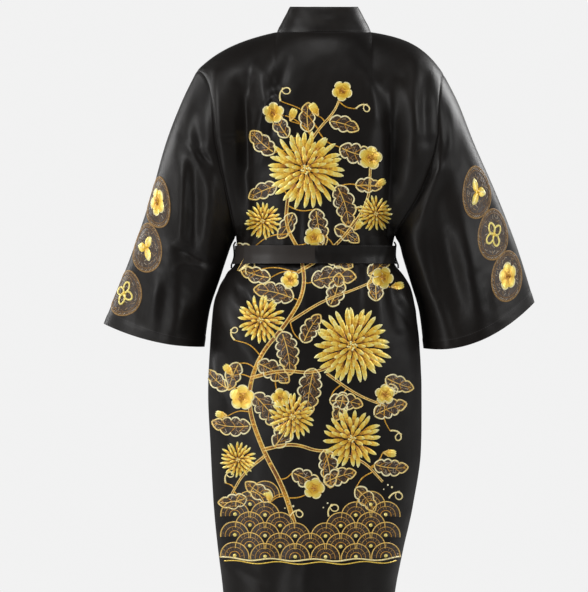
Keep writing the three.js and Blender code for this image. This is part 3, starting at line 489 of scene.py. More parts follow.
FINE_SLEEVE = {
    1: [
        (232, -472, 261, -530, 296, -589, 17, 7.0),
        (273, -261, 268, -330, 276, -402, 10, 4.5),
        (213, -289, 218, -350, 226, -402, 9, 4.5),
        (300, -430, 318, -490, 344, -548, 12, 4.5),
        (246, -234, 222, -222, 200, -228, 5, 3.1),
        (246, -234, 228, -246, 214, -262, 5, -3.4),
        (246, -234, 262, -210, 280, -196, 5, -2.8),
        (290, -140, 284, -200, 296, -262, 8, 3.4),
        (316, -270, 306, -330, 312, -392, 8, -3.1),
        (240, -452, 262, -446, 286, -458, 5, 3.1),
        (330, -470, 322, -520, 332, -574, 9, 3.6),
        (368, -500, 362, -540, 372, -580, 9, -3.1),
    ],
    -1: [
        (-219, -74, -222, -150, -220, -234, 5, 4.0),
        (-152, -162, -147, -190, -158, -224, 4, 5.0),
        (-158, -226, -178, -210, -203, -216, 4, 6.5),
        (-203, -216, -212, -226, -218, -240, 4, 5.0),
        (-190, -236, -180, -270, -152, -345, 9, -8.0),
        (-216, -248, -200, -300, -166, -352, 5, 6.0),
        (-154, -374, -193, -486, -234, -603, 12, 6.5),
        (-218, -261, -198, -306, -174, -355, 10, 5.5),
        (-236, -330, -262, -430, -300, -540, 14, 5.0),
        (-206, -300, -226, -400, -262, -520, 11, -5.0),
        (-240, -130, -252, -180, -246, -230, 7, 3.4),
        (-262, -180, -262, -240, -270, -300, 8, -3.1),
        (-196, -222, -206, -236, -214, -262, 5, -3.6),
        (-200, -380, -214, -440, -222, -500, 7, -3.6),
        (-262, -330, -270, -392, -286, -452, 8, 3.1),
        (-330, -470, -330, -510, -340, -556, 9, 3.4),
        (-220, -520, -236, -560, -248, -600, 8, 3.4),
    ],
}
GATHER_RISE = 1.9
GATHER_REACH = 44
BELT_GATHERS = ((1.0, 5.3, 1.7, 21), (0.7, 3.1, 2.0, 34))  # share, length, then how their phase wanders
UNEVEN_RISE = 0.4
UNEVEN_SIZE = 78


def waves(x, z, size, seed, count=7):
    rng = np.random.default_rng(seed)
    total = 0
    for _ in range(count):
        direction, phase = rng.uniform(0, 2 * np.pi, 2)
        length = size * rng.uniform(0.6, 1.5)
        along = x * np.cos(direction) + z * np.sin(direction)
        total = total + np.sin(2 * np.pi * along / length + phase)
    return total / math.sqrt(count)


def gathers(x, z):
    """Small upright gathers above and below the belt."""
    wave = 0
    for share, length, wander, wander_length in BELT_GATHERS:
        wave = wave + share * np.sin(x / length + wander * np.sin(x / wander_length))
    reach = GATHER_REACH * (1 + 0.5 * np.sin(x / 17))
    from_belt = np.maximum(0, np.abs(z - BELT_MIDDLE) - BELT_WIDTH / 2)
    return GATHER_RISE * wave * np.exp(-from_belt / reach)


def uneven(x, z, seed):
    coarse = waves(x, z, UNEVEN_SIZE, seed)
    return UNEVEN_RISE * (coarse + 0.4 * waves(x, z, UNEVEN_SIZE / 3, seed + 1))


print("fine creases:", len(FINE_BACK) + len(FINE_FRONT) + len(FINE_SLEEVE[1]) + len(FINE_SLEEVE[-1]))

# %% [markdown]
# ## The folded cloth
#
# The cloth is the bare form moved outwards by its folds. They fade out at the seams and under the belt,
# where the cloth is held. The left front laps over the right one, so it also lies a few millimetres further
# out.

# %% A point of the folded cloth
FOLDS_FADE = -120
SEAM_FADE = 14
ARMHOLE_FADE = (10, 0.6)
OVER_UNDERARM = 70
BELT_HOLD = 0.9
BACK = {"face": 1, "folds": BACK_FOLDS, "fine": FINE_BACK, "lift": 0, "side": 1, "seed": 3}
FRONT = {
    1: {"face": -1, "folds": FRONT_FOLDS, "fine": FINE_FRONT, "lift": WRAP_LIFT, "side": 1, "seed": 5},
    -1: {"face": -1, "folds": FRONT_FOLDS, "fine": FINE_FRONT, "lift": 0, "side": -1, "seed": 5},
}


def wrap_lift(panel, angle, height):
    inwards = ease(WRAP_STARTS, WRAP_FULL, panel["side"] * angle)
    return panel["lift"] * inwards * ease(*WRAP_TOP, height)


def fold_share(angle, height):
    """How much of its folds the cloth keeps near the shoulders, the seams and the belt."""
    near, loss = ARMHOLE_FADE
    fade = 1 - ease(FOLDS_FADE, 0, height)
    at_seam = ease(SIDE, SIDE - SEAM_FADE, np.abs(angle))
    at_armhole = 1 - loss * ease(SIDE - near, SIDE, np.abs(angle))
    near_side = mix(at_seam, at_armhole, ease(UNDERARM, UNDERARM + OVER_UNDERARM, height))
    gripped = 1 - BELT_HOLD * np.exp(-(((height - BELT_MIDDLE) / BELT_GRIP) ** 2))
    return fade * near_side * gripped


def cloth_point(panel, angle, height):
    """A point of a panel's cloth, with its folds, creases, gathers and lap."""
    angle, height = np.broadcast_arrays(np.asarray(angle, float), np.asarray(height, float))
    at = bare_body(panel["face"], angle, height)
    out = outward(panel["face"], angle, height)
    x, z = at[..., 0], at[..., 2]
    rise = fold_rise(panel["folds"], x, z) + fold_rise(panel["fine"], x, z)
    rise += gathers(x, z) + uneven(x, z, panel["seed"])
    lift = rise * fold_share(angle, height) + wrap_lift(panel, angle, height)
    return at + out * lift[..., None]


def angle_at(x, height):
    """The angle where the front passes a place across, found by halving."""
    low = np.full(np.broadcast(x, height).shape, -float(SIDE))
    high = -low
    for _ in range(32):
        middle = (low + high) / 2
        left_of = bare_body(-1, middle, height)[..., 0] < x
        low = np.where(left_of, middle, low)
        high = np.where(left_of, high, middle)
    return (low + high) / 2


def edge_angle(side, height):
    """The angle at which a front ends and its neckband begins."""
    middle = body["middle"](height) * ease(0, YOKE, height)
    found = angle_at(middle + side * front_edge["across"](height), height)
    return np.where(height == 0, side * NECK_ANGLE, found)


print("the left front ends at", edge_angle(1, np.array([-700.0])).round(1), "degrees at the hips")

# %% [markdown]
# ## From a grid of points to a shell
#
# Every cloth piece is a grid: rows go up the cloth and columns go across it. A second grid, moved inwards,
# gives the wrong side of the cloth, and a narrow rim closes the two into one thin solid. Arrays are handed
# to the mesh in one go, which is far quicker than adding faces one by one. The UV coordinates count metres
# along the cloth, so a weave keeps its scale on every piece and follows the folds.

# %% Mesh and shell helpers
def new_mesh(name, points_mm, quads, material, corner_uv=None, tone=None):
    mesh = bpy.data.meshes.new(name)
    mesh.vertices.add(len(points_mm))
    mesh.vertices.foreach_set("co", (np.asarray(points_mm) * MM).astype(np.float32).ravel())
    mesh.loops.add(quads.size)
    mesh.loops.foreach_set("vertex_index", quads.astype(np.int32).ravel())
    mesh.polygons.add(len(quads))
    mesh.polygons.foreach_set("loop_start", np.arange(0, quads.size, 4, dtype=np.int32))
    mesh.polygons.foreach_set("use_smooth", np.ones(len(quads), bool))
    mesh.update(calc_edges=True)
    if corner_uv is not None:
        layer = mesh.uv_layers.new(name="cloth")
        layer.data.foreach_set("uv", (np.asarray(corner_uv) * MM).astype(np.float32).ravel())
    if tone is not None:
        shade = mesh.attributes.new("tone", "FLOAT", "POINT")
        shade.data.foreach_set("value", np.asarray(tone, np.float32))
    mesh.materials.append(material)
    piece = bpy.data.objects.new(name, mesh)
    bpy.context.scene.collection.objects.link(piece)
    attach(piece, "root")
    return piece


def grid_quads(rows, columns, ring=False):
    index = np.arange(rows * columns).reshape(rows, columns)
    if ring:
        index = np.concatenate([index, index[:, :1]], axis=1)
    quads = np.stack([index[:-1, :-1], index[:-1, 1:], index[1:, 1:], index[1:, :-1]], axis=-1)
    return index, quads.reshape(-1, 4)


def run_lengths(grid, axis):
    steps = np.linalg.norm(np.diff(grid, axis=axis), axis=-1)
    start = np.zeros_like(np.take(steps, [0], axis=axis))
    return np.cumsum(np.concatenate([start, steps], axis=axis), axis=axis)


def grid_uv(grid, ring):
    if ring:
        grid = np.concatenate([grid, grid[:, :1]], axis=1)
    middle = grid.shape[0] // 2
    u = run_lengths(grid, 1)[middle][None, :] + 0 * grid[..., 0]
    v = run_lengths(grid, 0)
    uv = np.stack([u, v], axis=-1)
    return np.stack([uv[:-1, :-1], uv[:-1, 1:], uv[1:, 1:], uv[1:, :-1]], axis=2).reshape(-1, 4, 2)


def grid_normals(grid, ring=False):
    if ring:
        along_columns = np.roll(grid, -1, axis=1) - np.roll(grid, 1, axis=1)
    else:
        along_columns = np.gradient(grid, axis=1)
    return unit(np.cross(along_columns, np.gradient(grid, axis=0)))


def shell(name, outer, inner, material, ring=False):
    """Closes two grids into one thin solid with narrow rims, its faces turned outwards."""
    rows, columns = outer.shape[:2]
    count = rows * columns
    index, outer_quads = grid_quads(rows, columns, ring)
    quads = [outer_quads, outer_quads[:, ::-1] + count]
    uv = grid_uv(outer, ring)
    corner_uv = [uv, uv[:, ::-1]]
    rims = [index[0], index[-1][::-1]]
    if not ring:
        rims += [index[::-1, 0], index[:, -1]]
    for rim in rims:
        a, b = rim[:-1], rim[1:]
        quads.append(np.stack([a, a + count, b + count, b], axis=-1))
        corner_uv.append(np.zeros((len(a), 4, 2)))
    quads = np.concatenate(quads)
    corner_uv = np.concatenate(corner_uv)
    vertices = np.concatenate([outer.reshape(-1, 3), inner.reshape(-1, 3)])
    a, b, c, d = (vertices[quads[:, k]] for k in range(4))
    volume = np.einsum("ij,ij->", a, np.cross(b, c) + np.cross(c, d))
    if volume < 0:
        quads, corner_uv = quads[:, ::-1], corner_uv[:, ::-1]
    return new_mesh(name, vertices, quads, material, corner_uv)


def spaced(count, lip):
    """Places from 0 to 1, with two more close to each end for a rounded edge."""
    even = np.linspace(0, 1, count)[1:-1]
    even = even[(even > 1.5 * lip) & (even < 1 - 1.5 * lip)]
    return np.concatenate([[0, lip * 0.3, lip], even, [1 - lip, 1 - lip * 0.3, 1]])


print("a shell of 10 by 10 points has", 2 * 81 + 4 * 9, "quads")

# %% [markdown]
# ## Black satin
#
# Satin shines because its threads float over each other and lie side by side. The finish needs three
# things: a base close to black that shifts a little between warm and cool, a soft broad gloss, and a relief
# of fine threads that runs along the cloth. The shader's own sockets hold the numbers that are the same all
# over.


def new_material(name, slot, roughness, **sockets):
    material = bpy.data.materials.new(name)
    material.use_nodes = True
    shader = material.node_tree.nodes["Principled BSDF"]
    shader.inputs["Roughness"].default_value = roughness
    for socket, value in sockets.items():
        shader.inputs[socket.replace("_", " ")].default_value = value
    return material, material.node_tree, shader


def node(tree, kind, **settings):
    made = tree.nodes.new(kind)
    for name, value in settings.items():
        if name in made.inputs:
            made.inputs[name].default_value = value
        else:
            setattr(made, name, value)
    return made


def stretched(tree, source, size_x, size_y):
    """Coordinates that repeat every size_x by size_y metres."""
    scale = node(tree, "ShaderNodeMapping")
    scale.inputs["Scale"].default_value = (1 / size_x, 1 / size_y, 1)
    tree.links.new(source, scale.inputs["Vector"])
    return scale.outputs["Vector"]


def noise(tree, coordinates, detail=2.0):
    made = node(tree, "ShaderNodeTexNoise", Scale=1.0, Detail=detail)
    tree.links.new(coordinates, made.inputs["Vector"])
    return made.outputs["Fac"]


def ramp(tree, factor, stops):
    made = node(tree, "ShaderNodeValToRGB")
    colours = made.color_ramp.elements
    for k, (place, colour) in enumerate(stops):
        element = colours[k] if k < 2 else colours.new(place)
        element.position = place
        element.color = (*colour, 1)
    tree.links.new(factor, made.inputs["Fac"])
    return made.outputs["Color"]


def bump(tree, shader, height, distance, strength=1.0):
    made = node(tree, "ShaderNodeBump", Strength=strength, Distance=distance)
    tree.links.new(height, made.inputs["Height"])
    if shader.inputs["Normal"].is_linked:
        tree.links.new(shader.inputs["Normal"].links[0].from_socket, made.inputs["Normal"])
    tree.links.new(made.outputs["Normal"], shader.inputs["Normal"])


def vary_roughness(tree, shader, factor, low, high):
    made = node(tree, "ShaderNodeMapRange")
    made.inputs["To Min"].default_value = low
    made.inputs["To Max"].default_value = high
    tree.links.new(factor, made.inputs["Value"])
    tree.links.new(made.outputs["Result"], shader.inputs["Roughness"])


def sum_of(tree, operation, factor, number, added=None):
    """One step of arithmetic: a factor, a number and, if given, what is added."""
    made = node(tree, "ShaderNodeMath", operation=operation)
    made.inputs[1].default_value = number
    tree.links.new(factor, made.inputs[0])
    if added:
        tree.links.new(added, made.inputs[2])
    return made.outputs["Value"]


def paint_sheen_past(tree, shader, uv, start, light):
    """Past a place along the cloth the base is painted paler: painted sheen where the threads run the other
    way.
    """
    along = node(tree, "ShaderNodeSeparateXYZ")
    tree.links.new(uv, along.inputs[0])
    both = node(tree, "ShaderNodeMix", data_type="RGBA")
    tree.links.new(sum_of(tree, "GREATER_THAN", along.outputs["X"], start), both.inputs[0])
    tree.links.new(shader.inputs["Base Color"].links[0].from_socket, both.inputs[6])
    both.inputs[7].default_value = (*light, 1)
    tree.links.new(both.outputs[2], shader.inputs["Base Color"])


def satin(name, slot, dark, light, gloss, patch, painted_sheen=None):
    material, tree, shader = new_material(name, slot, gloss, Specular_IOR_Level=0.24, Sheen_Weight=0.02,
                                          Sheen_Roughness=0.4, Coat_Weight=0.03, Coat_Roughness=0.25)
    uv = node(tree, "ShaderNodeUVMap", uv_map="cloth").outputs["UV"]
    patches = noise(tree, stretched(tree, uv, patch, patch * 1.6), 3.0)
    tree.links.new(ramp(tree, patches, [(0.35, dark), (0.68, light)]), shader.inputs["Base Color"])
    # painted sheen: past the given place along the cloth the base colour is painted paler
    if painted_sheen:
        paint_sheen_past(tree, shader, uv, *painted_sheen)
    slubs = noise(tree, stretched(tree, uv, 0.0011, 0.034))
    vary_roughness(tree, shader, patches, gloss - 0.05, gloss + 0.07)
    bump(tree, shader, slubs, 0.00012)
    bump(tree, shader, noise(tree, stretched(tree, uv, 0.011, 0.016)), 0.0005, 0.35)
    return material


def dress(part):
    """Hides the solid whose place a finished piece has taken."""
    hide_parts(part)


robe_satin = satin("black_satin", "satin", (0.0052, 0.0040, 0.0034), (0.0100, 0.0080, 0.0068), 0.44, 0.12)
band_satin = satin("pressed_satin", "band_satin", (0.0060, 0.0046, 0.0040), (0.0125, 0.0104, 0.0088), 0.43,
                   0.03)

# %% [markdown]
# ## Back, fronts and sleeves
#
# A maker cuts the back in one piece and sews the two fronts to it at the shoulders and sides. Here each
# panel is a grid of angles and heights. Rows crowd together near the hem and columns near the seams, so
# that the cloth can dip into each seam and thicken at the folded hem.

# %% Rows, columns and edges of the panels
SEAM_DIP = 1.1
SEAM_WIDTH = 3.2
HEM_DEPTH = 22
HEM_THICK = 0.7
HEM_STEP = 1.5
SKIRT_ROWS = 0.62
TOP_ROWS = 0.38
HEM_LIP = 0.004
BACK_GRID = (150, 250)
FRONT_GRID = (90, 230)


def panel_heights(count):
    skirt = HEM + (UNDERARM - HEM) * spaced(int(count * SKIRT_ROWS), HEM_LIP)
    top = UNDERARM * (1 - np.linspace(0, 1, int(count * TOP_ROWS)))
    return np.concatenate([skirt, top[1:]])


def seam_dip(from_seam):
    return SEAM_DIP * np.exp(-((from_seam / SEAM_WIDTH) ** 2))


def hem_rise(from_edge, depth):
    return HEM_THICK * (1 - ease(depth - HEM_STEP, depth + HEM_STEP, from_edge))


def both_faces(grid, normals, hem, dip):
    """The right and the wrong side of the cloth, dipped at its seams and thicker at its hem."""
    return grid + normals * (hem - dip)[..., None], grid - normals * (CLOTH + dip)[..., None]


def panel_normals(panel, grid):
    out = grid_normals(grid)
    towards = outward(panel["face"], *panel["grid"])
    flip = np.sign(np.sum(out * towards, axis=-1, keepdims=True))
    return out * np.where(flip == 0, 1, flip)


def build_panel(name, panel, angles, heights):
    panel["grid"] = (angles, heights)
    grid = cloth_point(panel, angles, heights)
    normals = panel_normals(panel, grid)
    run = run_lengths(grid, 1)
    dip = seam_dip(run)
    if panel["face"] > 0:
        dip = dip + seam_dip(run[:, -1:] - run)
    faces = both_faces(grid, normals, hem_rise(heights - HEM, HEM_DEPTH), dip)
    piece = shell(f"{name}_cloth", *faces, robe_satin)
    dress(name)
    return piece, grid


back_heights = panel_heights(BACK_GRID[1])[:, None]
back_angles = (SIDE * (2 * spaced(BACK_GRID[0], 0.008) - 1))[None, :]
back, back_grid = build_panel("back", BACK, *np.broadcast_arrays(back_angles, back_heights))

fronts, front_grids = {}, {}
front_heights = panel_heights(FRONT_GRID[1])[:, None]
for side, word in SIDES:
    edges = edge_angle(side, front_heights)
    angles = side * SIDE + (edges - side * SIDE) * spaced(FRONT_GRID[0], 0.01)[None, :]
    heights = np.broadcast_to(front_heights, angles.shape)
    fronts[side], front_grids[side] = build_panel(f"front_{word}", FRONT[side], angles, heights)
print("back:", len(back.data.polygons), "faces; a front:", len(fronts[1].data.polygons), "faces")

# %% [markdown]
# ## Sleeves
#
# A kimono sleeve is a wide straight tube. This one starts on the armhole and eases into its own sections,
# which widen towards the open cuff. The outer edge of each section stands well out and the lower part sags,
# which gives the wing shape seen from behind. The sleeve's sewn edge is turned in and lies against the
# inside of the body panels, so no light comes through the seam.

# %% Sleeve tubes
SLEEVE_GRID = (110, 120)
CUFF_HEM = 20
SLEEVE_FOLDS_FROM = (0.02, 0.16)
SLEEVE_CREASES_FROM = (0.0, 0.1)
TURNED_IN = ((6, 3.2), (3, 3.2), (0.8, 3.0))  # degrees in from the seam and millimetres inside the panel


def armhole_loop(side, places, turned_in=0.0, inside=0.0):
    """Points of the armhole, from the shoulder down the back to the underarm and up the front."""
    rows = np.array(ARMHOLE_ROWS, float)
    down = np.where(places <= HALF_LOOP, HALF_LOOP - places, places - HALF_LOOP)
    height = np.interp(down, np.arange(len(rows)), rows)
    angle = np.full(places.shape, float(side * (SIDE - turned_in)))
    on_back = cloth_point(BACK, angle, height) - inside * outward(1, angle, height)
    on_front = cloth_point(FRONT[side], angle, height) - inside * outward(-1, angle, height)
    return np.where((places <= HALF_LOOP)[:, None], on_back, on_front)


def sleeve_section(side, s, turn):
    """A point of the bare sleeve: s runs from the armhole to the cuff, turn runs round from the top."""
    read = {name: column(s) for name, column in sleeve[side].items()}
    p = (1 - np.cos(turn)) / 2
    x = mix(read["x1"], read["x2"], p)
    z = mix(read["z1"], read["z2"], p) - read["sag"] * np.sin(turn) ** 2
    depth = np.where(np.sin(turn) > 0, read["back"], read["front"])
    y = read["lean"] + depth * np.sin(turn) * (1 + read["full"] * np.cos(turn))
    return points(side * x, y, z)


def sleeve_points(side, s, places):
    turn = np.pi * places / HALF_LOOP
    at = sleeve_section(side, s, turn)
    start = armhole_loop(side, places[0])[None] - sleeve_section(side, 0 * s, turn)
    at = at + start * ((1 - ease(0, SLEEVE_BLEND, s)) ** 2)[..., None]
    x, z = at[..., 0], at[..., 2]
    rise = fold_rise(SLEEVE_FOLDS[side], x, z) * ease(*SLEEVE_FOLDS_FROM, s)
    small = fold_rise(FINE_SLEEVE[side], x, z) + uneven(x, z, 11 + side) + 0.5 * uneven(z, x, 17)
    at[..., 1] += np.sin(turn) * (rise + small * ease(*SLEEVE_CREASES_FROM, s))
    return at


def build_sleeve(side, word):
    count, rings = SLEEVE_GRID
    places, s = np.meshgrid(np.arange(count) * (2 * HALF_LOOP / count), spaced(rings, 0.006) ** 1.1)
    grid = sleeve_points(side, s, places)
    normals = grid_normals(grid, ring=True)
    centre = grid.mean(axis=1, keepdims=True)
    if np.mean(np.sum(normals * (grid - centre), axis=-1)) < 0:
        normals = -normals
    run = run_lengths(grid, 0)
    outer, inner = both_faces(grid, normals, hem_rise(run[-1:] - run, CUFF_HEM), seam_dip(run))
    edge = [armhole_loop(side, places[0], turn, inside) for turn, inside in TURNED_IN]
    lining = [armhole_loop(side, places[0], turn, inside + CLOTH) for turn, inside in TURNED_IN]
    piece = shell(f"sleeve_{word}_cloth", np.concatenate([edge, outer]), np.concatenate([lining, inner]),
                  robe_satin, ring=True)
    dress(f"sleeve_{word}")
    return piece, outer, normals


sleeves = {side: build_sleeve(side, word) for side, word in SIDES}
print("a sleeve:", len(sleeves[1][0].data.polygons), "faces")

# %% [markdown]
# ## Neckband
#
# The neckband is a long straight strip, folded double over a stiffening and sewn round the whole front
# edge: up one front, along the neckline and down the other. It stands at the back and lies flat on the
# fronts. Its outline is blended between those two states, and its face is slightly crowned because there
# are several layers inside.

# %% Neckband along its seam
BAND_ACROSS = 14
BAND_CROWN = 0.9
BAND_SINK = 0.2
BAND_UNEVEN = 0.25
BAND_HEIGHTS = 260
BAND_NECK = 60
BAND_LEAN = (0.5, 0.42)  # shares across and in depth
BAND_LEANS_TO = 12
BAND_SETTLES = 120
BAND_STANDS = (-150, -10)
BAND_STEP = 4


def run_along(panel, side, height):
    above = np.minimum(-1, height + BAND_STEP)
    below = np.maximum(HEM, above - 2 * BAND_STEP)
    upper = cloth_point(panel, edge_angle(side, above), above)
    lower = cloth_point(panel, edge_angle(side, below), below)
    return unit(upper - lower)


def standing_point(seam, across):
    """The neckband where it stands up from its seam and leans inwards."""
    lean_x, lean_y = BAND_LEAN
    lean_share = (NECK_HALF - BAND_TOP_HALF) / NECK_HALF / lean_x
    inwards = points(-seam[..., 0] * lean_x, (BAND_LEANS_TO - seam[..., 1]) * lean_y, 0 * seam[..., 0])
    standing = seam + inwards * lean_share * (across / BAND_WIDTH)[..., None]
    standing[..., 2] += across
    return standing


def lying_point(panel, side, angle, height, across):
    """The neckband where it lies on the front, square to its seam."""
    run = run_along(panel, side, height)
    beside = cloth_point(panel, angle + 1, height) - cloth_point(panel, angle - 1, height)
    per_degree = np.linalg.norm(beside, axis=-1) / 2
    along = across * np.abs(run[..., 2])
    rise = across * np.hypot(run[..., 0], run[..., 1]) * np.minimum(1, -height / BAND_SETTLES)
    return cloth_point(panel, angle - side * along / per_degree, np.minimum(-1, height + rise))


def front_band(side, across):
    height = np.repeat(panel_heights(BAND_HEIGHTS)[:-1, None], len(across), axis=1)
    width = np.broadcast_to(across[None, :], height.shape)
    angle = edge_angle(side, height)
    standing = standing_point(cloth_point(FRONT[side], angle, height), width)
    lying = lying_point(FRONT[side], side, angle, height, width)
    return mix(lying, standing, ease(*BAND_STANDS, height)[..., None])


def back_band(across):
    angle = np.repeat(np.linspace(-NECK_ANGLE, NECK_ANGLE, BAND_NECK)[:, None], len(across), axis=1)
    width = np.broadcast_to(across[None, :], angle.shape)
    return standing_point(cloth_point(BACK, angle, 0 * angle), width)


across = BAND_WIDTH * spaced(BAND_ACROSS, 0.03)
band_grid = np.concatenate([front_band(-1, across), back_band(across), front_band(1, across)[::-1]])
band_out = -grid_normals(band_grid)
if band_out[len(band_grid) // 2, BAND_ACROSS // 2, 1] < 0:
    band_out = -band_out
crown = BAND_CROWN * (1 - np.abs(2 * across / BAND_WIDTH - 1) ** 4)
crown = crown + BAND_UNEVEN * waves(band_grid[..., 0], band_grid[..., 2], 34, 29)
band_face = band_grid + band_out * (crown - BAND_SINK)[..., None]
neckband = shell("neckband_cloth", band_face, band_grid - band_out * BAND_CLOTH, band_satin)
dress("neckband")
print("neckband:", round(float(run_lengths(band_grid, 0)[-1, 7]) / 1000, 2), "m long")

# %% [markdown]
# ## Belt
#
# The belt is a long double strip of the same satin, pressed flat and tied round the waist. It is joined
# near the middle of the back, where one half catches more light and has a paler base colour as painted
# sheen. It lies a little off the gathers, and it passes through a thread loop at each side seam.

# %% Belt round the waist
BELT_SEAM_X = 16
BELT_GRID = (420, 12)
BELT_CROWN = 0.5
BELT_TILT = 4
BELT_UNEVEN = 0.2
JOIN_DEEP = 0.7
JOIN_WIDE = 2.2
LAP_RISE = 0.8
LAP_ENDS = (120, 100)
GATHER_STARTS = (-40, -128)
BELT_PUCKER = 0.7


def round_waist(around, height, off):
    """A point off the body all the way round it: 0 is the middle of the back, 180 that of the front."""
    face = np.where(np.abs(around) <= SIDE, 1, -1)
    sign = np.where(around < 0, -1, 1)
    angle = np.where(face > 0, around, sign * (2 * SIDE - np.abs(around)))
    at = np.where((face > 0)[..., None], bare_body(1, angle, height), bare_body(-1, angle, height))
    out = np.where((face > 0)[..., None], outward(1, angle, height), outward(-1, angle, height))
    sideways = points(sign, 0 * sign, 0 * sign)
    out = np.where((np.abs(around) == SIDE)[..., None], sideways, out)
    over = ease(WRAP_STARTS, WRAP_FULL, angle) * ease(-SIDE, WRAP_UNDER, angle)
    lift = np.where(face > 0, 0, WRAP_LIFT * over)
    return at + out * (off + lift)[..., None]


columns, rows = BELT_GRID
around = (4 * SIDE * np.arange(columns) / columns - 2 * SIDE)[None, :]
up = spaced(rows, 0.04)[:, None]
belt_heights = BELT_MIDDLE + BELT_WIDTH * (up - 0.5)
around, belt_heights = np.broadcast_arrays(around, belt_heights)
belt_line = round_waist(around, belt_heights, np.full(around.shape, BELT_OFF))
belt_out = unit(belt_line - belt_line.mean(axis=1, keepdims=True)) * np.array([1, 1, 0])
belt_crown = BELT_CROWN * (1 - np.abs(2 * up - 1) ** 5)
ripple = BELT_UNEVEN * waves(around * 2.6, belt_heights, 40, 41)
belt_x, behind = belt_line[..., 0], belt_line[..., 1] > 0
join = JOIN_DEEP * np.exp(-(((belt_x - BELT_SEAM_X) / JOIN_WIDE) ** 2)) * behind
lapped = LAP_RISE * ease(BELT_SEAM_X, BELT_SEAM_X + 3, belt_x) * behind
lapped = lapped * ease(*LAP_ENDS, belt_x)
half_tilt = mix(-BELT_TILT, BELT_TILT, ease(BELT_SEAM_X - 1, BELT_SEAM_X + 1, belt_x))
half_tilt = half_tilt * ease(0, 40, belt_line[..., 1])
gathered = ease(*GATHER_STARTS, belt_x) * (0.5 + 0.5 * np.sin(belt_x / 2.6 + 3 * up))
thick = BELT_CLOTH + belt_crown + ripple - join + lapped
thick = thick + behind * BELT_PUCKER * gathered
belt_line = belt_line + belt_out * (half_tilt * (0.5 - up) + np.abs(half_tilt) / 2)[..., None]
belt_face = belt_line + belt_out * thick[..., None]
middle_row = belt_face[rows // 2]
at_join = np.argmin(np.abs(middle_row[:, 0] - BELT_SEAM_X) + 1000 * (middle_row[:, 1] < 0))
join_along = float(run_lengths(belt_face, 1)[rows // 2, at_join]) * MM
# painted sheen: past the join the belt's base colour is painted paler, for the half that catches more light
belt_satin = satin("belt_satin", "band_satin", (0.0050, 0.0040, 0.0034), (0.0090, 0.0074, 0.0062), 0.45,
                   0.03, painted_sheen=(join_along, (0.030, 0.025, 0.022)))
belt = shell("belt_cloth", belt_face, belt_line, belt_satin, ring=True)
dress("belt")
print("belt round the waist:", round(float(run_lengths(belt_line, 1)[5, -1])), "mm")

# %% [markdown]
# ## Knot and hanging ends
#
# The belt is tied once at the front. A tight knot is a band folded over itself: one turn goes over the
# crossing from top to bottom, and the two ends leave below it. Each turn is a ribbon that is swept along a
# short path, with lengthwise pleats where it is squeezed.

# %% Ribbons along a path
def ribbon(path, across_dir, widths, thickness, pleat, columns=22):
    """Closed ribbon along a path: outer and inner grids, with lengthwise pleats."""
    c = np.linspace(-0.5, 0.5, columns)[None, :, None]
    middle = path[:, None, :] + across_dir[:, None, :] * c * widths[:, None, None]
    along = np.gradient(path, axis=0)
    out = unit(np.cross(along, across_dir))[:, None, :]
    edge = 1 - np.abs(2 * c) ** 6
    fold = pleat[:, None, None] * np.sin(c * 15 + 2.2 * path[:, None, 2:3] / 40)
    half = thickness / 2 * edge
    return middle + out * (half + fold), middle - out * (half - fold * 0.8)


def belt_front_y():
    x = np.array([KNOT["x"] + k * KNOT["wide"] for k in (-0.5, -0.25, 0, 0.25, 0.5)])
    height = np.array([BELT_MIDDLE + k * BELT_WIDTH for k in (-0.5, 0, 0.5)])
    x, height = (grid.ravel() for grid in np.meshgrid(x, height))
    facing = 2 * SIDE - angle_at(x, height)
    return float(round_waist(facing, height, np.full(x.shape, BELT_OFF + BELT_CLOTH))[:, 1].min())


def smooth_path(stops, count):
    """A rounded path near a few stops, by repeated cutting of corners."""
    path = np.array(stops, float)
    for _ in range(4):
        q, r = path[:-1] * 0.75 + path[1:] * 0.25, path[:-1] * 0.25 + path[1:] * 0.75
        path = np.concatenate([path[:1], np.stack([q, r], 1).reshape(-1, path.shape[1]), path[-1:]])
    run = run_lengths(path, 0)
    even = np.linspace(0, run[-1], count)
    return np.stack([np.interp(even, run, path[:, k]) for k in range(path.shape[1])], axis=1)


KNOT_CLOTH = 4.5
KNOT_PLEAT = 0.9
KNOT_OFF = 1
knot_y = belt_front_y() - KNOT_OFF
KNOT_TURN = [  # x, y and z from the middle of the knot, ribbon width
    (2, 2, 18, 26), (0, -6, 24, 30), (-2, -17, 19, 34), (-3, -22, 3, 36),
    (-3, -19, -14, 33), (-1, -9, -21, 28), (1, 1, -16, 24),
]
KNOT_SIDES = [  # one tucked fold at each side of the turn
    [(-30, 0, 6, 24), (-24, -8, 4, 27), (-14, -13, 0, 24), (-4, -12, -6, 16)],
    [(34, 0, 3, 24), (27, -8, 5, 28), (16, -13, 3, 25), (4, -12, -3, 16)],
]


def knot_ribbon(stops, across_axis):
    path = smooth_path(stops, 46)
    centre = path[:, :3] + np.array([KNOT["x"], knot_y, BELT_MIDDLE])
    across_dir = np.tile(np.array(across_axis, float), (len(path), 1))
    pleat = KNOT_PLEAT * np.sin(np.linspace(0, np.pi, len(path)))
    return ribbon(centre, across_dir, path[:, 3], KNOT_CLOTH, pleat)


knot_parts = [knot_ribbon(KNOT_TURN, (1, 0, 0.12))]
knot_parts += [knot_ribbon(stops, (0.08, 0, 1)) for stops in KNOT_SIDES]
knot_pieces = [shell(f"belt_knot_{k}", *faces, band_satin) for k, faces in enumerate(knot_parts)]


def join_pieces(name, pieces):
    with bpy.context.temp_override(active_object=pieces[0], selected_editable_objects=pieces):
        bpy.ops.object.join()
    pieces[0].name = pieces[0].data.name = name
    return pieces[0]


knot = join_pieces("belt_knot_cloth", knot_pieces)
dress("belt_knot")

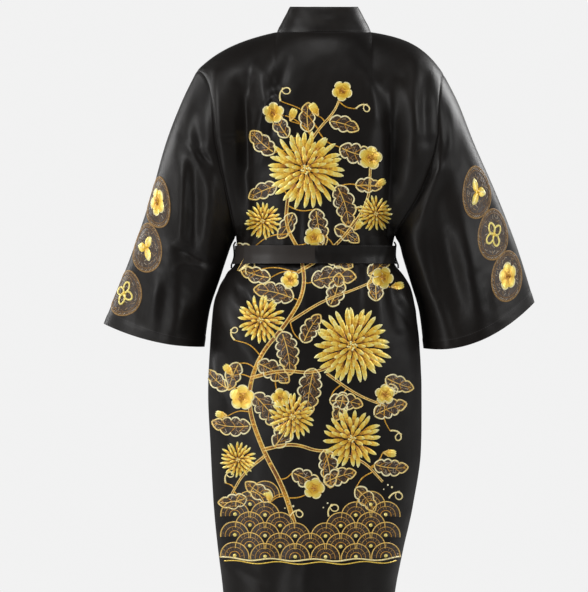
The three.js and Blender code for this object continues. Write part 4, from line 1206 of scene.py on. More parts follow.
TAILS = {  # places across at the top and at the end, length, height of its waves
    1: {"top": 12, "end": 50, "long": 345, "wave": 2.5},
    -1: {"top": -12, "end": -34, "long": 318, "wave": 3.0},
}
TAIL_TOP_WIDTH = 19
TAIL_WIDE_AT = 0.14
TAIL_LIES_AT = 0.1
TAIL_WAVES_AT = 0.2
TAIL_PLEATED = (0.02, 0.22)
TAIL_PLEAT = 1.1
TAIL_BEFORE_KNOT = 6
TAIL_GRID = (130, 15)


def tail_grid(side):
    tail = TAILS[side]
    rows, columns = TAIL_GRID
    t, c = np.meshgrid(spaced(rows, 0.004), spaced(columns, 0.03) - 0.5, indexing="ij")
    z = BELT_MIDDLE - KNOT["flat"] * KNOT["high"] / 2 - t * tail["long"]
    width = mix(TAIL_TOP_WIDTH, BELT_WIDTH, ease(0, TAIL_WIDE_AT, t))
    x = KNOT["x"] + mix(tail["top"], tail["end"], t**0.7) + c * width
    wave = tail["wave"] * (1 + np.sin(9 * t + 3 * c)) * ease(0, TAIL_WAVES_AT, t)
    cloth_y = cloth_point(FRONT[1], angle_at(x, z), z)[..., 1] - LAY_GAP - wave
    y = mix(knot_y - TAIL_BEFORE_KNOT, cloth_y, ease(0, TAIL_LIES_AT, t))
    pleat = TAIL_PLEAT * np.sin(c * 16) * (1 - ease(*TAIL_PLEATED, t))
    return points(x, y + pleat, z)


for side, word in SIDES:
    grid = tail_grid(side)
    facing = grid - np.array([0, BELT_CLOTH, 0])
    end = shell(f"belt_end_{word}_cloth", facing, grid, band_satin)
    dress(f"belt_end_{word}")
print("knot face at y", round(knot_y, 1), "mm")
print("hanging ends:", [tail["long"] for tail in TAILS.values()], "mm long")

# %% [markdown]
# ## Thread loops
#
# A short plait of thread at each side seam keeps the belt in its place. It is three round strands that
# change places as they rise: each one swings from side to side, and it passes in front of the others at
# every swing.

# %% Plaited belt loops
LOOP_LENGTH = 52
LOOP_SEWN = 0.14
LOOP_OFF = 2.0
LOOP_STANDS = 3.9
LOOP_TURNS = 6.5
STRAND_RADIUS = 1.1
STRAND_SWING = 2.0
STRAND_SIDES = 8
STRAND_DEEP = 0.7
PLAIT_POINTS = 110

plait_thread, _, plait_shader = new_material("plait_thread", "sewing_thread", 0.42)
plait_shader.inputs["Base Color"].default_value = (0.012, 0.010, 0.009, 1)


def strand(path, radius):
    """A round strand along a path, closed to a point at both ends."""
    along = unit(np.gradient(path, axis=0))
    first = unit(np.cross(along, np.array([0, 0.9, 0.44])))
    second = np.cross(along, first)
    turn = 2 * np.pi * np.arange(STRAND_SIDES) / STRAND_SIDES
    ring = np.cos(turn)[None, :, None] * first[:, None, :]
    ring = ring + np.sin(turn)[None, :, None] * second[:, None, :]
    taper = np.minimum(1, np.arange(len(path)) / 2) * np.minimum(1, np.arange(len(path))[::-1] / 2)
    return path[:, None, :] + ring * (radius * np.maximum(taper, 0.02))[:, None, None]


def plait(side):
    t = np.linspace(0, 1, PLAIT_POINTS)
    over = ease(0, LOOP_SEWN, t) * ease(1, 1 - LOOP_SEWN, t)
    middle = round_waist(np.full(t.shape, float(side * SIDE)), BELT_MIDDLE + LOOP_LENGTH * (t - 0.5),
                         LOOP_OFF + LOOP_STANDS * over)
    parts, quads = [], []
    for k in range(3):
        phase = 2 * np.pi * (LOOP_TURNS * t + k / 3)
        path = middle + points(side * STRAND_DEEP * np.sin(2 * phase), STRAND_SWING * np.sin(phase), 0 * t)
        grid = strand(path, STRAND_RADIUS)
        quads.append(grid_quads(len(path), STRAND_SIDES, ring=True)[1] + k * grid[..., 0].size)
        parts.append(grid.reshape(-1, 3))
    return np.concatenate(parts), np.concatenate(quads)


for side, word in SIDES:
    loop = new_mesh(f"belt_loop_{word}_plait", *plait(side), plait_thread)
    dress(f"belt_loop_{word}")
print("belt loops: 2 plaits of 3 strands")

# %% [markdown]
# ## Embroidery threads
#
# Machine embroidery builds colour from lustrous threads that lie side by side. Each petal or leaf is a
# domed patch of such stitches, edged with a thick pale cord. A number called tone is stored at every point
# of the patch. The thread material turns it into a colour: brown at the root of a petal, orange in its
# middle and pale gold at its tip. Fine stripes across the patch stand for the single stitches, both in
# colour and in relief.

# %% Thread finishes
STITCH = 0.0009
STRAND_SHIFT = 0.60
CLUMP_SHIFT = 0.50
SHIFT_CENTRE = 0.54


def thread(name, slot, stops, gloss, metal):
    material, tree, shader = new_material(name, slot, gloss, Metallic=metal, Specular_IOR_Level=0.6,
                                          Sheen_Weight=0.1, Sheen_Roughness=0.4)
    tone = node(tree, "ShaderNodeAttribute", attribute_name="tone").outputs["Fac"]
    uv = node(tree, "ShaderNodeUVMap", uv_map="cloth").outputs["UV"]
    strands = noise(tree, stretched(tree, uv, 0.02, STITCH), 1.0)
    clumps = noise(tree, stretched(tree, uv, 0.012, 0.0035), 1.0)
    shifted = sum_of(tree, "MULTIPLY_ADD", strands, STRAND_SHIFT, tone)
    shifted = sum_of(tree, "MULTIPLY_ADD", clumps, CLUMP_SHIFT, shifted)
    centred = sum_of(tree, "SUBTRACT", shifted, SHIFT_CENTRE)
    tree.links.new(ramp(tree, centred, stops), shader.inputs["Base Color"])
    bump(tree, shader, strands, 0.0004, 0.8)
    return material


gold_thread = thread("gold_thread", "gold_thread", [
    (0.0, (0.16, 0.045, 0.004)), (0.25, (0.50, 0.20, 0.012)), (0.5, (0.95, 0.56, 0.045)),
    (0.75, (1.0, 0.80, 0.16)), (1.0, (1.0, 0.93, 0.46)),
], 0.30, 0.25)
pale_thread = thread("pale_thread", "pale_thread", [
    (0.0, (0.42, 0.19, 0.02)), (0.4, (0.84, 0.52, 0.10)), (0.7, (1.0, 0.80, 0.30)),
    (1.0, (1.0, 0.94, 0.62)),
], 0.32, 0.15)
brown_thread = thread("brown_thread", "brown_thread", [
    (0.0, (0.012, 0.008, 0.006)), (0.3, (0.05, 0.024, 0.009)), (0.55, (0.13, 0.062, 0.018)),
    (0.8, (0.40, 0.22, 0.05)), (1.0, (0.52, 0.44, 0.32)),
], 0.45, 0.0)
print("threads: gold, pale and brown")

# %% [markdown]
# ## Drawing with stitches
#
# The design is drawn flat, in millimetres, as small grids of points. Each point has a place, a height above
# the cloth and a tone. A collector keeps the grids of one thread, and at the end it lays all of them on the
# cloth and joins them into one mesh. That is far quicker than a thousand little objects.

# %% Collectors and the basic stitches
class Stitches:
    """Grids of points that share one thread and become one mesh."""

    def __init__(self):
        self.places, self.lifts, self.tones, self.uvs, self.quads = [], [], [], [], []
        self.count = 0

    def add(self, place, lift, tone):
        rows, columns = place.shape[:2]
        _, quads = grid_quads(rows, columns)
        u = run_lengths(place, 1)
        along = np.linalg.norm(np.diff(place, axis=0), axis=-1).mean(axis=1)
        v = np.concatenate([[0], np.cumsum(along)])[:, None] + 0 * u + 7.3 * len(self.places)
        self.places.append(place.reshape(-1, 2))
        self.lifts.append(np.broadcast_to(lift, (rows, columns)).ravel())
        self.tones.append(np.broadcast_to(tone, (rows, columns)).ravel())
        self.uvs.append(np.stack([u, v], axis=-1).reshape(-1, 2))
        self.quads.append(quads + self.count)
        self.count += rows * columns

    def gathered(self):
        parts = (self.places, self.lifts, self.tones, self.uvs, self.quads)
        return tuple(np.concatenate(part) for part in parts)


def turned(place, angle, centre=(0, 0)):
    c, s = math.cos(angle), math.sin(angle)
    return place @ np.array([[c, s], [-s, c]]) + np.array(centre)


def circle(turn):
    return np.stack([np.cos(turn), np.sin(turn)], axis=1)


def curl(count, reach, high, bend):
    t = np.linspace(-1, 1, count)
    return np.stack([t * reach, high * np.sin(t * bend)], axis=1)


def side_of(path):
    along = np.gradient(path, axis=0)
    along /= np.maximum(np.linalg.norm(along, axis=1, keepdims=True), 1e-9)
    return np.stack([-along[:, 1], along[:, 0]], axis=1)


EDGE_SINK = 0.25
CORD_PROFILE = ((-0.5, 0.0), (-0.28, 0.8), (0.0, 1.0), (0.28, 0.8), (0.5, 0.0))


def cord(stitches, path, width, base, tone, high=None):
    """A raised cord along a path; width may be one number or one for each point."""
    path = np.asarray(path, float)
    width = np.broadcast_to(width, len(path))[:, None]
    across = np.array([c for c, _ in CORD_PROFILE])[None, :]
    dome = np.array([h for _, h in CORD_PROFILE])[None, :]
    place = path[:, None, :] + side_of(path)[:, None, :] * (across * width)[..., None]
    high = 0.36 * width if high is None else high
    stitches.add(place, base + high * dome - EDGE_SINK * (dome == 0), tone)


def patch(stitches, path, half, base, dome, tone, columns=5):
    """A domed patch of stitches on both sides of a middle line."""
    path = np.asarray(path, float)
    c = np.linspace(-1, 1, columns)[None, :]
    place = path[:, None, :] + side_of(path)[:, None, :] * (c * np.asarray(half)[:, None])[..., None]
    high = dome * (1 - np.abs(c) ** 2.2) * np.minimum(1, np.asarray(half) / np.max(half) + 0.3)[:, None]
    stitches.add(place, base + high - EDGE_SINK * (np.abs(c) == 1), tone)


def bent_line(length, bend, count):
    """A line of a given length that leaves upwards and bends sideways by an angle."""
    t = np.linspace(0, 1, count)
    direction = np.pi / 2 + bend * t
    step = length / (count - 1)
    x = np.concatenate([[0], np.cumsum(np.cos(direction[:-1]) * step)])
    z = np.concatenate([[0], np.cumsum(np.sin(direction[:-1]) * step)])
    return np.stack([x, z], axis=1)


rng = np.random.default_rng(20)
gold, pale, brown = Stitches(), Stitches(), Stitches()
print("a cord has", len(CORD_PROFILE) - 1, "strips")

# %% [markdown]
# ## Chrysanthemums, leaves and blossoms
#
# The motifs are common ones in east Asian dress. A chrysanthemum is rings of narrow petals around a knotted
# heart. Its outer petals are long and curl to one side. A leaf has a wavy edge of pale cord, a middle vein,
# side veins and a brown filling of short curled stitches. A small blossom has five round petals.

# %% Motif functions
PETAL_LIFT = 0.9
LEAF_LIFT = 0.15
LOBE_DEPTH = 0.34
STEM_FROM = 5
STEM_WIDTH = 2.8
FILLING_TONES = [0.35, 0.5, 0.62, 0.85, 1.0]


def petal(centre, turn, start, length, width, bend, base, tone_root, tone_tip):
    rows = 9
    t = np.linspace(0, 1, rows)
    path = bent_line(length, bend, rows) + np.array([0, start])
    half = width / 2 * (np.sin(np.pi * (0.12 + 0.80 * t)) ** 0.8) * (0.55 + 0.45 * t)
    half[-1] = width * 0.06
    tone = mix(tone_root, tone_tip, t)[:, None] + rng.uniform(-0.06, 0.06)
    patch(gold, turned(path, turn, centre), half, base, 0.9, tone)


def chrysanthemum(x, z, radius, rings, turn):
    """Rings of petals from the outside in. Each ring is petals, inner and outer share of the radius."""
    for k, (count, inner, outer, width) in enumerate(rings):
        for j in range(count):
            angle = turn + 2 * np.pi * (j + 0.5 * (k % 2)) / count + rng.uniform(-0.05, 0.05)
            length = radius * (outer - inner) * rng.uniform(0.86, 1.08)
            root, tip = (0.0, 0.98) if k == 0 else (0.1, 0.92)
            petal((x, z), angle, radius * inner, length, width * radius, rng.uniform(-0.25, 0.55),
                  PETAL_LIFT + 0.5 * k, root, tip)
    heart = radius * rings[-1][1] * 1.25
    for j in range(19):
        reach, angle = heart * math.sqrt((j + 0.3) / 19), j * 2.4
        spot = np.array([x + reach * math.cos(angle), z + reach * math.sin(angle)])
        dot(gold, spot, heart * 0.24, PETAL_LIFT + 0.5 * len(rings), 0.45 + 0.5 * (j % 2))


def dot(stitches, spot, radius, base, tone):
    """A knotted stitch, a small round dome."""
    turn = np.linspace(0, 2 * np.pi, 9)
    share = np.array([1.0, 0.62, 0.02])[:, None, None]
    high = np.array([-0.2, 0.75, 1.0])[:, None] * radius * 0.55
    stitches.add(spot + circle(turn)[None] * share * radius, base + high, tone)


def squiggles(inside, box, base, spacing=5.2):
    """Short curled stitches that fill a shape. Inside tells which places belong to it."""
    x0, z0, x1, z1 = box
    for z in np.arange(z0, z1, spacing):
        for x in np.arange(x0 + (z / spacing % 2) * spacing / 2, x1, spacing):
            spot = np.array([x, z]) + rng.uniform(-1.4, 1.4, 2)
            if inside(spot):
                path = turned(curl(6, 3.1, 1.5, 2.6), rng.uniform(0, np.pi), spot)
                cord(brown, path, 1.2, base, rng.choice(FILLING_TONES))


def leaf(x, z, length, width, turn, bend, lobes):
    rows = 41
    t = np.linspace(0, 1, rows)
    middle = turned(bent_line(length, bend, rows), turn, (x, z))
    across = side_of(middle)
    lobe = np.abs(np.sin(np.pi * lobes * np.clip(t, 0.03, 0.97))) ** 0.6
    wave = 1 - LOBE_DEPTH + LOBE_DEPTH * lobe
    half = width / 2 * np.sin(np.pi * t**0.82) ** 0.6 * wave + 0.4
    patch(brown, middle, half * 0.97, LEAF_LIFT, 0.25, 0.2 + 0.1 * np.sin(9 * t)[:, None], 7)
    left, right = middle + across * half[:, None], middle - across * half[:, None]
    edge = np.concatenate([left, right[::-1]])
    cord(pale, edge, 2.9, LEAF_LIFT + 0.35, 0.72 + 0.2 * np.sin(np.linspace(0, 9, len(edge)))[:, None])
    cord(pale, middle[2:-3], np.linspace(2.4, 1.0, rows - 5), LEAF_LIFT + 0.4, 0.45)
    for k in range(1, lobes + 1):
        i = int((k - 0.35) / (lobes + 0.3) * rows)
        for side in (1, -1):
            tip = middle[min(i + 6, rows - 1)] + side * across[i] * half[min(i + 3, rows - 1)] * 0.72
            vein = smooth_path([middle[i], mix(middle[i], tip, 0.5) + across[i] * side * 0.8, tip], 8)
            cord(gold, vein, np.linspace(1.8, 0.9, 8), LEAF_LIFT + 0.35, 0.3)

    def inside(spot):
        gap = np.hypot(*(middle - spot).T)
        i = int(np.argmin(gap))
        return 2.6 < gap[i] < half[i] - 2.2 and 1 < i < rows - 2

    low, high = edge.min(axis=0), edge.max(axis=0)
    squiggles(inside, (*low, *high), LEAF_LIFT + 0.3)


def blossom(x, z, radius, turn=0.0):
    for k in range(5):
        angle = turn + 2 * np.pi * k / 5
        t = np.linspace(0, 1, 9)
        path = turned(bent_line(radius * 0.86, 0, 9) + np.array([0, radius * 0.14]), angle, (x, z))
        half = radius * 0.46 * np.sin(np.pi * (0.1 + 0.86 * t) ** 1.2) ** 0.7
        patch(gold, path, half, PETAL_LIFT, 0.8, mix(0.25, 0.88, t)[:, None])
        rim = np.linspace(-0.35 * np.pi, 0.35 * np.pi, 12)
        bow = np.stack([np.sin(rim) * radius * 0.47, radius * 0.52 + np.cos(rim) * radius * 0.48], axis=1)
        cord(pale, turned(bow, angle, (x, z)), 2.0, PETAL_LIFT + 0.2, 0.9)
    for k in range(6):
        spot = turned(np.array([[0, radius * 0.16 * (k > 0)]]), k * 1.257, (x, z))[0]
        dot(gold, spot, radius * 0.1, PETAL_LIFT + 0.9, 0.2 + 0.15 * (k % 2))


def bud(x, z, size, turn):
    for k, lean in enumerate((-0.5, 0.5, 0.0)):
        petal((x, z), turn + lean * 0.5, 0, size, size * 0.42, -lean * 0.5, PETAL_LIFT + 0.2 * k, 0.2, 0.85)
    for lean in (-0.7, 0.7):
        sepal = turned(bent_line(size * 0.5, lean * 0.8, 8), turn + lean * 0.5, (x, z))
        cord(pale, sepal, np.linspace(3.2, 1.0, 8), PETAL_LIFT + 0.8, 0.5)


def branch(stops, start, end):
    path = smooth_path(stops, 16 * len(stops))
    width = np.linspace(start, end, len(path))
    cord(gold, path, width, 0.1, 0.18 + 0.14 * np.sin(np.linspace(0, 30, len(path)))[:, None], high=0.8)
    for side in (1, -1):
        cord(pale, path + side * side_of(path) * width[:, None] * 0.5, 1.8, 0.4, 0.6)
    for i in range(10, len(path) - 8, 19):
        dot(gold, path[i], width[i] * 0.5, 0.6, 0.35)
    return path


def stem_to(lines, x, z):
    """A thin stem from the nearest place of a branch, so that nothing floats on the cloth."""
    places = np.concatenate(lines)
    gap = np.hypot(places[:, 0] - x, places[:, 1] - z)
    start, end = places[np.argmin(gap)], np.array([x, z], float)
    if gap.min() > STEM_FROM:
        aside = side_of(np.array([start, end]))[0] * 0.16 * gap.min()
        path = smooth_path([start, mix(start, end, 0.5) + aside, end], 12)
        cord(gold, path, np.linspace(STEM_WIDTH, STEM_WIDTH * 0.7, 12), 0.12, 0.35)


def tendril(x, z, size, turn, curls=1.3):
    t = np.linspace(0, 1, 40)
    angle = curls * 2 * np.pi * t**1.4
    radius = size * (1 - t) ** 0.8 * 0.5
    path = np.stack([radius * np.cos(angle) - size * 0.5, radius * np.sin(angle) + size * 0.6 * t], axis=1)
    cord(pale, turned(path, turn, (x, z)), np.linspace(3.4, 1.6, 40), 0.3, 0.75)


print("motifs: chrysanthemum, leaf, blossom, bud, branch, tendril")

# %% [markdown]
# ## The design on the back
#
# A flowering stem climbs from a band of waves to the shoulders. The belt crosses it at the waist, as a belt
# would cross any picture on a robe. Each table lists one kind of motif with its place, its size and the way
# it points. Turns are in degrees, counted from straight up towards the robe's right side.

# %% Tables of the design
BRANCHES = [  # stops of the middle line, width at the start and at the end
    ([(58, -948), (78, -880), (122, -800), (150, -712), (128, -628), (74, -566), (36, -502), (44, -430),
      (76, -376), (70, -320)], 8.0, 5.0),
    ([(140, -668), (84, -652), (20, -660), (-30, -636)], 5.5, 3.6),
    ([(118, -806), (60, -792), (6, -812), (-36, -796)], 5.5, 3.6),
    ([(52, -466), (8, -440), (-40, -396), (-86, -330), (-88, -262)], 5.0, 3.0),
    ([(40, -240), (16, -196), (-18, -160), (-30, -132)], 4.0, 2.6),
    ([(66, -560), (4, -520), (-60, -498), (-104, -478)], 4.0, 2.6),
    ([(112, -816), (156, -852), (178, -892)], 4.2, 2.8),
    ([(-6, -811), (-70, -822), (-112, -868)], 4.2, 2.8),
    ([(-4, -659), (-60, -700), (-116, -722)], 4.0, 2.6),
]
# each ring of petals: how many, inner and outer share of the radius, and width as a share of it
LARGE_RINGS = [(28, 0.44, 1.0, 0.15), (23, 0.32, 0.80, 0.15), (17, 0.20, 0.58, 0.14), (10, 0.10, 0.37, 0.13)]
SMALL_RINGS = [(21, 0.42, 1.0, 0.18), (16, 0.26, 0.74, 0.18), (9, 0.10, 0.44, 0.17)]
CHRYSANTHEMUMS = [  # x, z, radius, rings, turn
    (36, -268, 76, LARGE_RINGS, 10),
    (-52, -606, 76, LARGE_RINGS, 0),
    (122, -556, 46, SMALL_RINGS, 14),
    (-52, -784, 58, SMALL_RINGS, 5),
    (118, -366, 36, SMALL_RINGS, 0),
    (62, -742, 45, SMALL_RINGS, 8),
    (166, -826, 35, SMALL_RINGS, 12),
    (-98, -352, 34, SMALL_RINGS, 4),
]
BLOSSOMS = [  # x, z, radius, turn
    (-88, -246, 22, 10), (-34, -118, 19, 40), (98, -160, 20, 0), (-112, -476, 21, 25), (158, -706, 24, 5),
    (84, -706, 18, 60), (20, -880, 20, 15), (-116, -700, 19, 0), (20, -398, 19, 30), (66, -480, 17, 50),
]
BUDS = [  # x, z, size, turn
    (12, -166, 28, -30), (66, -176, 26, 20), (-96, -300, 24, 60), (-128, -494, 26, 80), (176, -664, 26, -40),
    (-112, -812, 26, 95), (186, -742, 24, -80), (104, -908, 22, -10), (-58, -384, 22, 40),
]
LEAVES = [  # x, z, length, width, turn, bend, lobes
    (-30, -226, 78, 38, 118, -0.5, 4), (-24, -300, 82, 40, 150, 0.5, 4), (-10, -176, 58, 30, 96, 0.4, 3),
    (96, -236, 62, 34, -58, 0.4, 3), (92, -300, 58, 30, -104, -0.3, 3), (30, -196, 56, 30, -14, 0.5, 3),
    (16, -344, 74, 36, 176, -0.3, 4), (60, -352, 56, 28, 200, 0.4, 3),
    (24, -484, 86, 42, 70, 0.5, 4), (60, -516, 78, 38, -66, -0.4, 4), (104, -476, 60, 30, -84, 0.4, 3),
    (82, -580, 84, 42, 158, 0.4, 5), (20, -650, 92, 44, 196, -0.3, 5), (128, -640, 70, 36, 110, 0.4, 4),
    (164, -640, 56, 30, -150, -0.3, 3), (136, -700, 88, 42, 132, 0.35, 5), (142, -760, 76, 36, -100, 0.5, 4),
    (96, -800, 80, 38, 40, -0.5, 4), (0, -806, 74, 36, 160, 0.4, 4), (-96, -740, 66, 34, 60, 0.4, 4),
    (-100, -520, 60, 32, -8, 0.4, 3), (-10, -530, 66, 34, 30, -0.5, 4), (-118, -668, 58, 30, 120, -0.3, 3),
    (-10, -712, 64, 32, 84, 0.5, 4), (62, -850, 70, 34, 110, 0.4, 4), (-96, -834, 66, 32, 110, -0.5, 4),
    (186, -690, 54, 28, -60, 0.4, 3), (-84, -470, 56, 30, 60, -0.4, 3),
    (40, -600, 62, 32, 20, 0.4, 4), (100, -900, 60, 30, -70, 0.4, 3),
    (0, -870, 64, 32, 60, 0.4, 4), (-60, -880, 58, 30, 130, 0.4, 3), (150, -900, 56, 28, -110, 0.3, 3),
    (-4, -436, 54, 30, 100, 0.4, 3), (140, -420, 50, 28, -100, 0.3, 3), (-36, -700, 52, 28, -170, 0.3, 3),
    (-60, -300, 50, 28, 80, 0.4, 3), (70, -206, 54, 28, -40, 0.4, 3), (-20, -380, 54, 28, 110, 0.4, 3),
]
TENDRILS = [  # x, z, size, turn
    (84, -138, 34, -30), (-60, -152, 30, 30), (-58, -342, 30, 60), (172, -596, 28, -60), (-124, -680, 26, 80),
    (-126, -770, 30, 70), (150, -470, 30, -30), (2, -396, 26, 150), (190, -872, 28, -30),
]
lines = [branch(stops, start, end) for stops, start, end in BRANCHES]
for x, z, *_ in LEAVES + BUDS + BLOSSOMS + TENDRILS:
    stem_to(lines, x, z)
for x, z, length, width, turn, bend, lobes in LEAVES:
    leaf(x, z, length, width, math.radians(turn), bend, lobes)
for x, z, size, turn in TENDRILS:
    tendril(x, z, size, math.radians(turn))
for x, z, size, turn in BUDS:
    bud(x, z, size, math.radians(turn))
for x, z, radius, turn in BLOSSOMS:
    blossom(x, z, radius, math.radians(turn))
for x, z, radius, rings, turn in CHRYSANTHEMUMS:
    chrysanthemum(x, z, radius, rings, math.radians(turn))
print("the stem carries", len(CHRYSANTHEMUMS), "chrysanthemums and", len(LEAVES), "leaves")

# %% [markdown]
# ## Wave band
#
# Overlapping scallops are one of the oldest wave patterns. Each scallop is half a disc with three rims. The
# rows are drawn from the top one down, and each row lies a little over the one above it, like roof tiles.

# %% Overlapping scallop waves
WAVE_RADIUS = 29
WAVE_STEP = 20
WAVE_LEFT = -118
WAVE_BOTTOM = -1014
WAVE_ROWS = [  # from the bottom: first place and number of scallops in the row
    [(0, 6)], [(0.5, 5)], [(0, 6)], [(0.5, 2), (3.5, 2)], [(0, 2), (4, 2)], [(0.5, 1), (4.5, 1)], [(4, 1)],
]


def scallop(x, z, radius, base):
    turn = np.linspace(-0.12, np.pi + 0.12, 21)
    ring = circle(turn)
    share = np.array([1.0, 0.96, 0.5, 0.06])[:, None, None]
    lift = base + np.array([-0.1, 0.15, 0.2, 0.2])[:, None]
    brown.add(np.array([x, z]) + ring[None] * share * radius, lift, 0.1 + 0.1 * np.sin(turn * 9)[None, :])
    rims = ((0.95, 2.1, 0.42, pale), (0.64, 1.4, 0.12, pale), (0.36, 1.6, 0.3, gold))
    for part, width, tone, stitches in rims:
        cord(stitches, np.array([x, z]) + ring[::-1] * radius * part, width, base + 0.2, tone)
    dot(gold, np.array([x, z + radius * 0.08]), radius * 0.13, base + 0.3, 0.8)
    for k in range(9):
        a = np.pi * (k + 0.5) / 9 + rng.uniform(-0.06, 0.06)
        for low, high in ((0.72, 0.88), (0.45, 0.6)):
            reach = np.array([low, (low + high) / 2, high])[:, None] * radius
            stroke = np.array([x, z]) + reach * np.array([math.cos(a), math.sin(a)])
            cord(brown, stroke, 1.5, base + 0.25, rng.choice([0.35, 0.5, 0.7]))


for row in reversed(range(len(WAVE_ROWS))):
    for first, count in WAVE_ROWS[row]:
        for k in range(count):
            centre_x = WAVE_LEFT + (first + k) * 2 * WAVE_RADIUS
            lift = 0.1 + 0.2 * (len(WAVE_ROWS) - row)
            scallop(centre_x, WAVE_BOTTOM + row * WAVE_STEP, WAVE_RADIUS, lift)
for k, drop in enumerate((4, 10)):
    x = np.linspace(WAVE_LEFT - WAVE_RADIUS + 8 * k, WAVE_LEFT + 11 * WAVE_RADIUS - 8 * k, 80)
    line = np.stack([x, WAVE_BOTTOM - drop + 2.2 * np.sin(x / 13 + k)], axis=1)
    cord(pale if k == 0 else gold, line, 3.2 - k, 1.3 - 0.4 * k, 0.8 - 0.2 * k)
for x, z, size, turn in ((-124, -900, 30, 20), (-8, -934, 30, -25), (66, -934, 28, 15)):
    tendril(x, z, size, math.radians(turn), 1.5)
    for k in range(3):
        dot(pale, np.array([x + 8 * k - 6, z + size * 0.7 + 5 * math.sin(2 * k)]), 2.2 - 0.4 * k, 0.3, 0.9)
print("thread points so far:", gold.count + pale.count + brown.count)

# %% [markdown]
# ## Laying the design on the cloth
#
# The flat drawing has to follow every fold of the back. For each point of it a ray goes straight towards
# the cloth. Where the ray meets the cloth, the point is set, and then it is lifted by its own height along
# the cloth's normal. This is the digital form of stitching through the fabric.

# %% Lay the back's embroidery
def cloth_tree(grid):
    _, quads = grid_quads(*grid.shape[:2])
    return BVHTree.FromPolygons(grid.reshape(-1, 3).tolist(), quads.tolist())


RAY_FROM = 400
NEAR_BACK = 90


def laid_on_back(tree, place, lift):
    out = np.empty((len(place), 3))
    for k, (x, z) in enumerate(place):
        hit, normal, _, _ = tree.ray_cast(Vector((x, RAY_FROM, z)), Vector((0, -1, 0)))
        if hit is None:
            hit, normal, _, _ = tree.find_nearest(Vector((x, NEAR_BACK, z)))
        out[k] = hit + (normal if normal.y > 0 else -normal) * float(lift[k])
    return out


def embroider(name, stitches, material, lay):
    place, lift, tone, uv, quads = stitches.gathered()
    piece = new_mesh(name, lay(place, lift), quads, material, uv[quads.ravel()], tone)
    print(name, len(quads) * 2, "triangles")


def embroider_all(name, lay):
    """Makes one piece of each thread that the drawing uses."""
    threads = (("gold", gold, gold_thread), ("pale", pale, pale_thread), ("brown", brown, brown_thread))
    for word, stitches, material in threads:
        if stitches.count:
            embroider(f"{name}_{word}", stitches, material, lay)


back_tree = cloth_tree(back_grid)
embroider_all("back_embroidery", lambda place, lift: laid_on_back(back_tree, place, lift))

# %% [markdown]
# ## Roundels on the sleeves
#
# Three embroidered roundels run down each sleeve along its outer edge, and the outermost ones wrap round
# it. A ray from behind would miss the part beyond the edge, so these are laid by measured lengths: so many
# millimetres along the sleeve and so many round it.

# %% Lay and draw the roundels
ROUNDEL = 45
ROUNDEL_RING = 8
ROUNDEL_CURLS = 46
ROUNDELS = {  # x, z and motif, from the top down
    1: [(322, -328, "blossom"), (347, -417, "leaves"), (390, -505, "knot")],
    -1: [(-295, -308, "leaves"), (-328, -390, "knot"), (-357, -474, "blossom")],
}


class SleeveChart:
    """Lays points by lengths along and round a sleeve, from the place seen at x and z."""

    def __init__(self, side, x, z):
        _, grid, normals = sleeves[side]
        shift = grid.shape[1] // 4
        self.grid, self.normals = np.roll(grid, shift, axis=1), np.roll(normals, shift, axis=1)
        seen = self.grid[..., 1] > self.grid[..., 1].mean(axis=1, keepdims=True)
        gap = np.hypot(self.grid[..., 0] - x, self.grid[..., 2] - z) + np.where(seen, 0, 1e6)
        self.row, self.column = np.unravel_index(np.argmin(gap), gap.shape)
        self.side = side
        self.down = run_lengths(self.grid, 0)[:, self.column]
        self.round = run_lengths(self.grid, 1)

    def __call__(self, place, lift):
        rows = np.interp(self.down[self.row] - place[:, 1], self.down, np.arange(len(self.down)))
        out = np.empty((len(place), 3))
        columns = np.arange(self.grid.shape[1])
        for k, row in enumerate(rows):
            i = min(int(row), len(self.down) - 2)
            f = row - i
            arcs = mix(self.round[i], self.round[i + 1], f)
            column = np.interp(arcs[self.column] - self.side * place[k, 0], arcs, columns)
            j = min(int(column), len(columns) - 2)
            g = column - j
            above, below = (mix(self.grid[r, j], self.grid[r, j + 1], g) for r in (i, i + 1))
            out[k] = mix(above, below, f) + self.normals[i, j] * lift[k]
        return out


def roundel_frame():
    turn = np.linspace(0, 2 * np.pi, 73)
    ring = circle(turn)
    share = np.linspace(ROUNDEL - 1, 1, 12)[:, None, None]
    texture = 0.12 + 0.16 * np.abs(np.sin(turn * 23))[None, :] * np.linspace(1, 0.6, 12)[:, None]
    brown.add(ring[None] * share, np.full((12, 1), 0.3), texture)
    cord(brown, ring * (ROUNDEL - 1.4), 3.0, 0.2, 0.72)
    cord(brown, ring * (ROUNDEL - ROUNDEL_RING), 2.2, 0.35, 0.6)
    for k in range(ROUNDEL_CURLS):
        angle = 2 * np.pi * k / ROUNDEL_CURLS
        spot = (ROUNDEL - ROUNDEL_RING / 2 - 0.4) * np.array([math.cos(angle), math.sin(angle)])
        path = turned(curl(5, 2.6, 1.2, 2.4), angle + 0.6, spot)
        cord(brown, path, 1.3, 0.4, rng.choice([0.6, 0.8, 1.0]))

    def inside(spot):
        return np.hypot(*spot) < ROUNDEL - ROUNDEL_RING - 3

    squiggles(inside, (-ROUNDEL, -ROUNDEL, ROUNDEL, ROUNDEL), 0.35, 6.4)


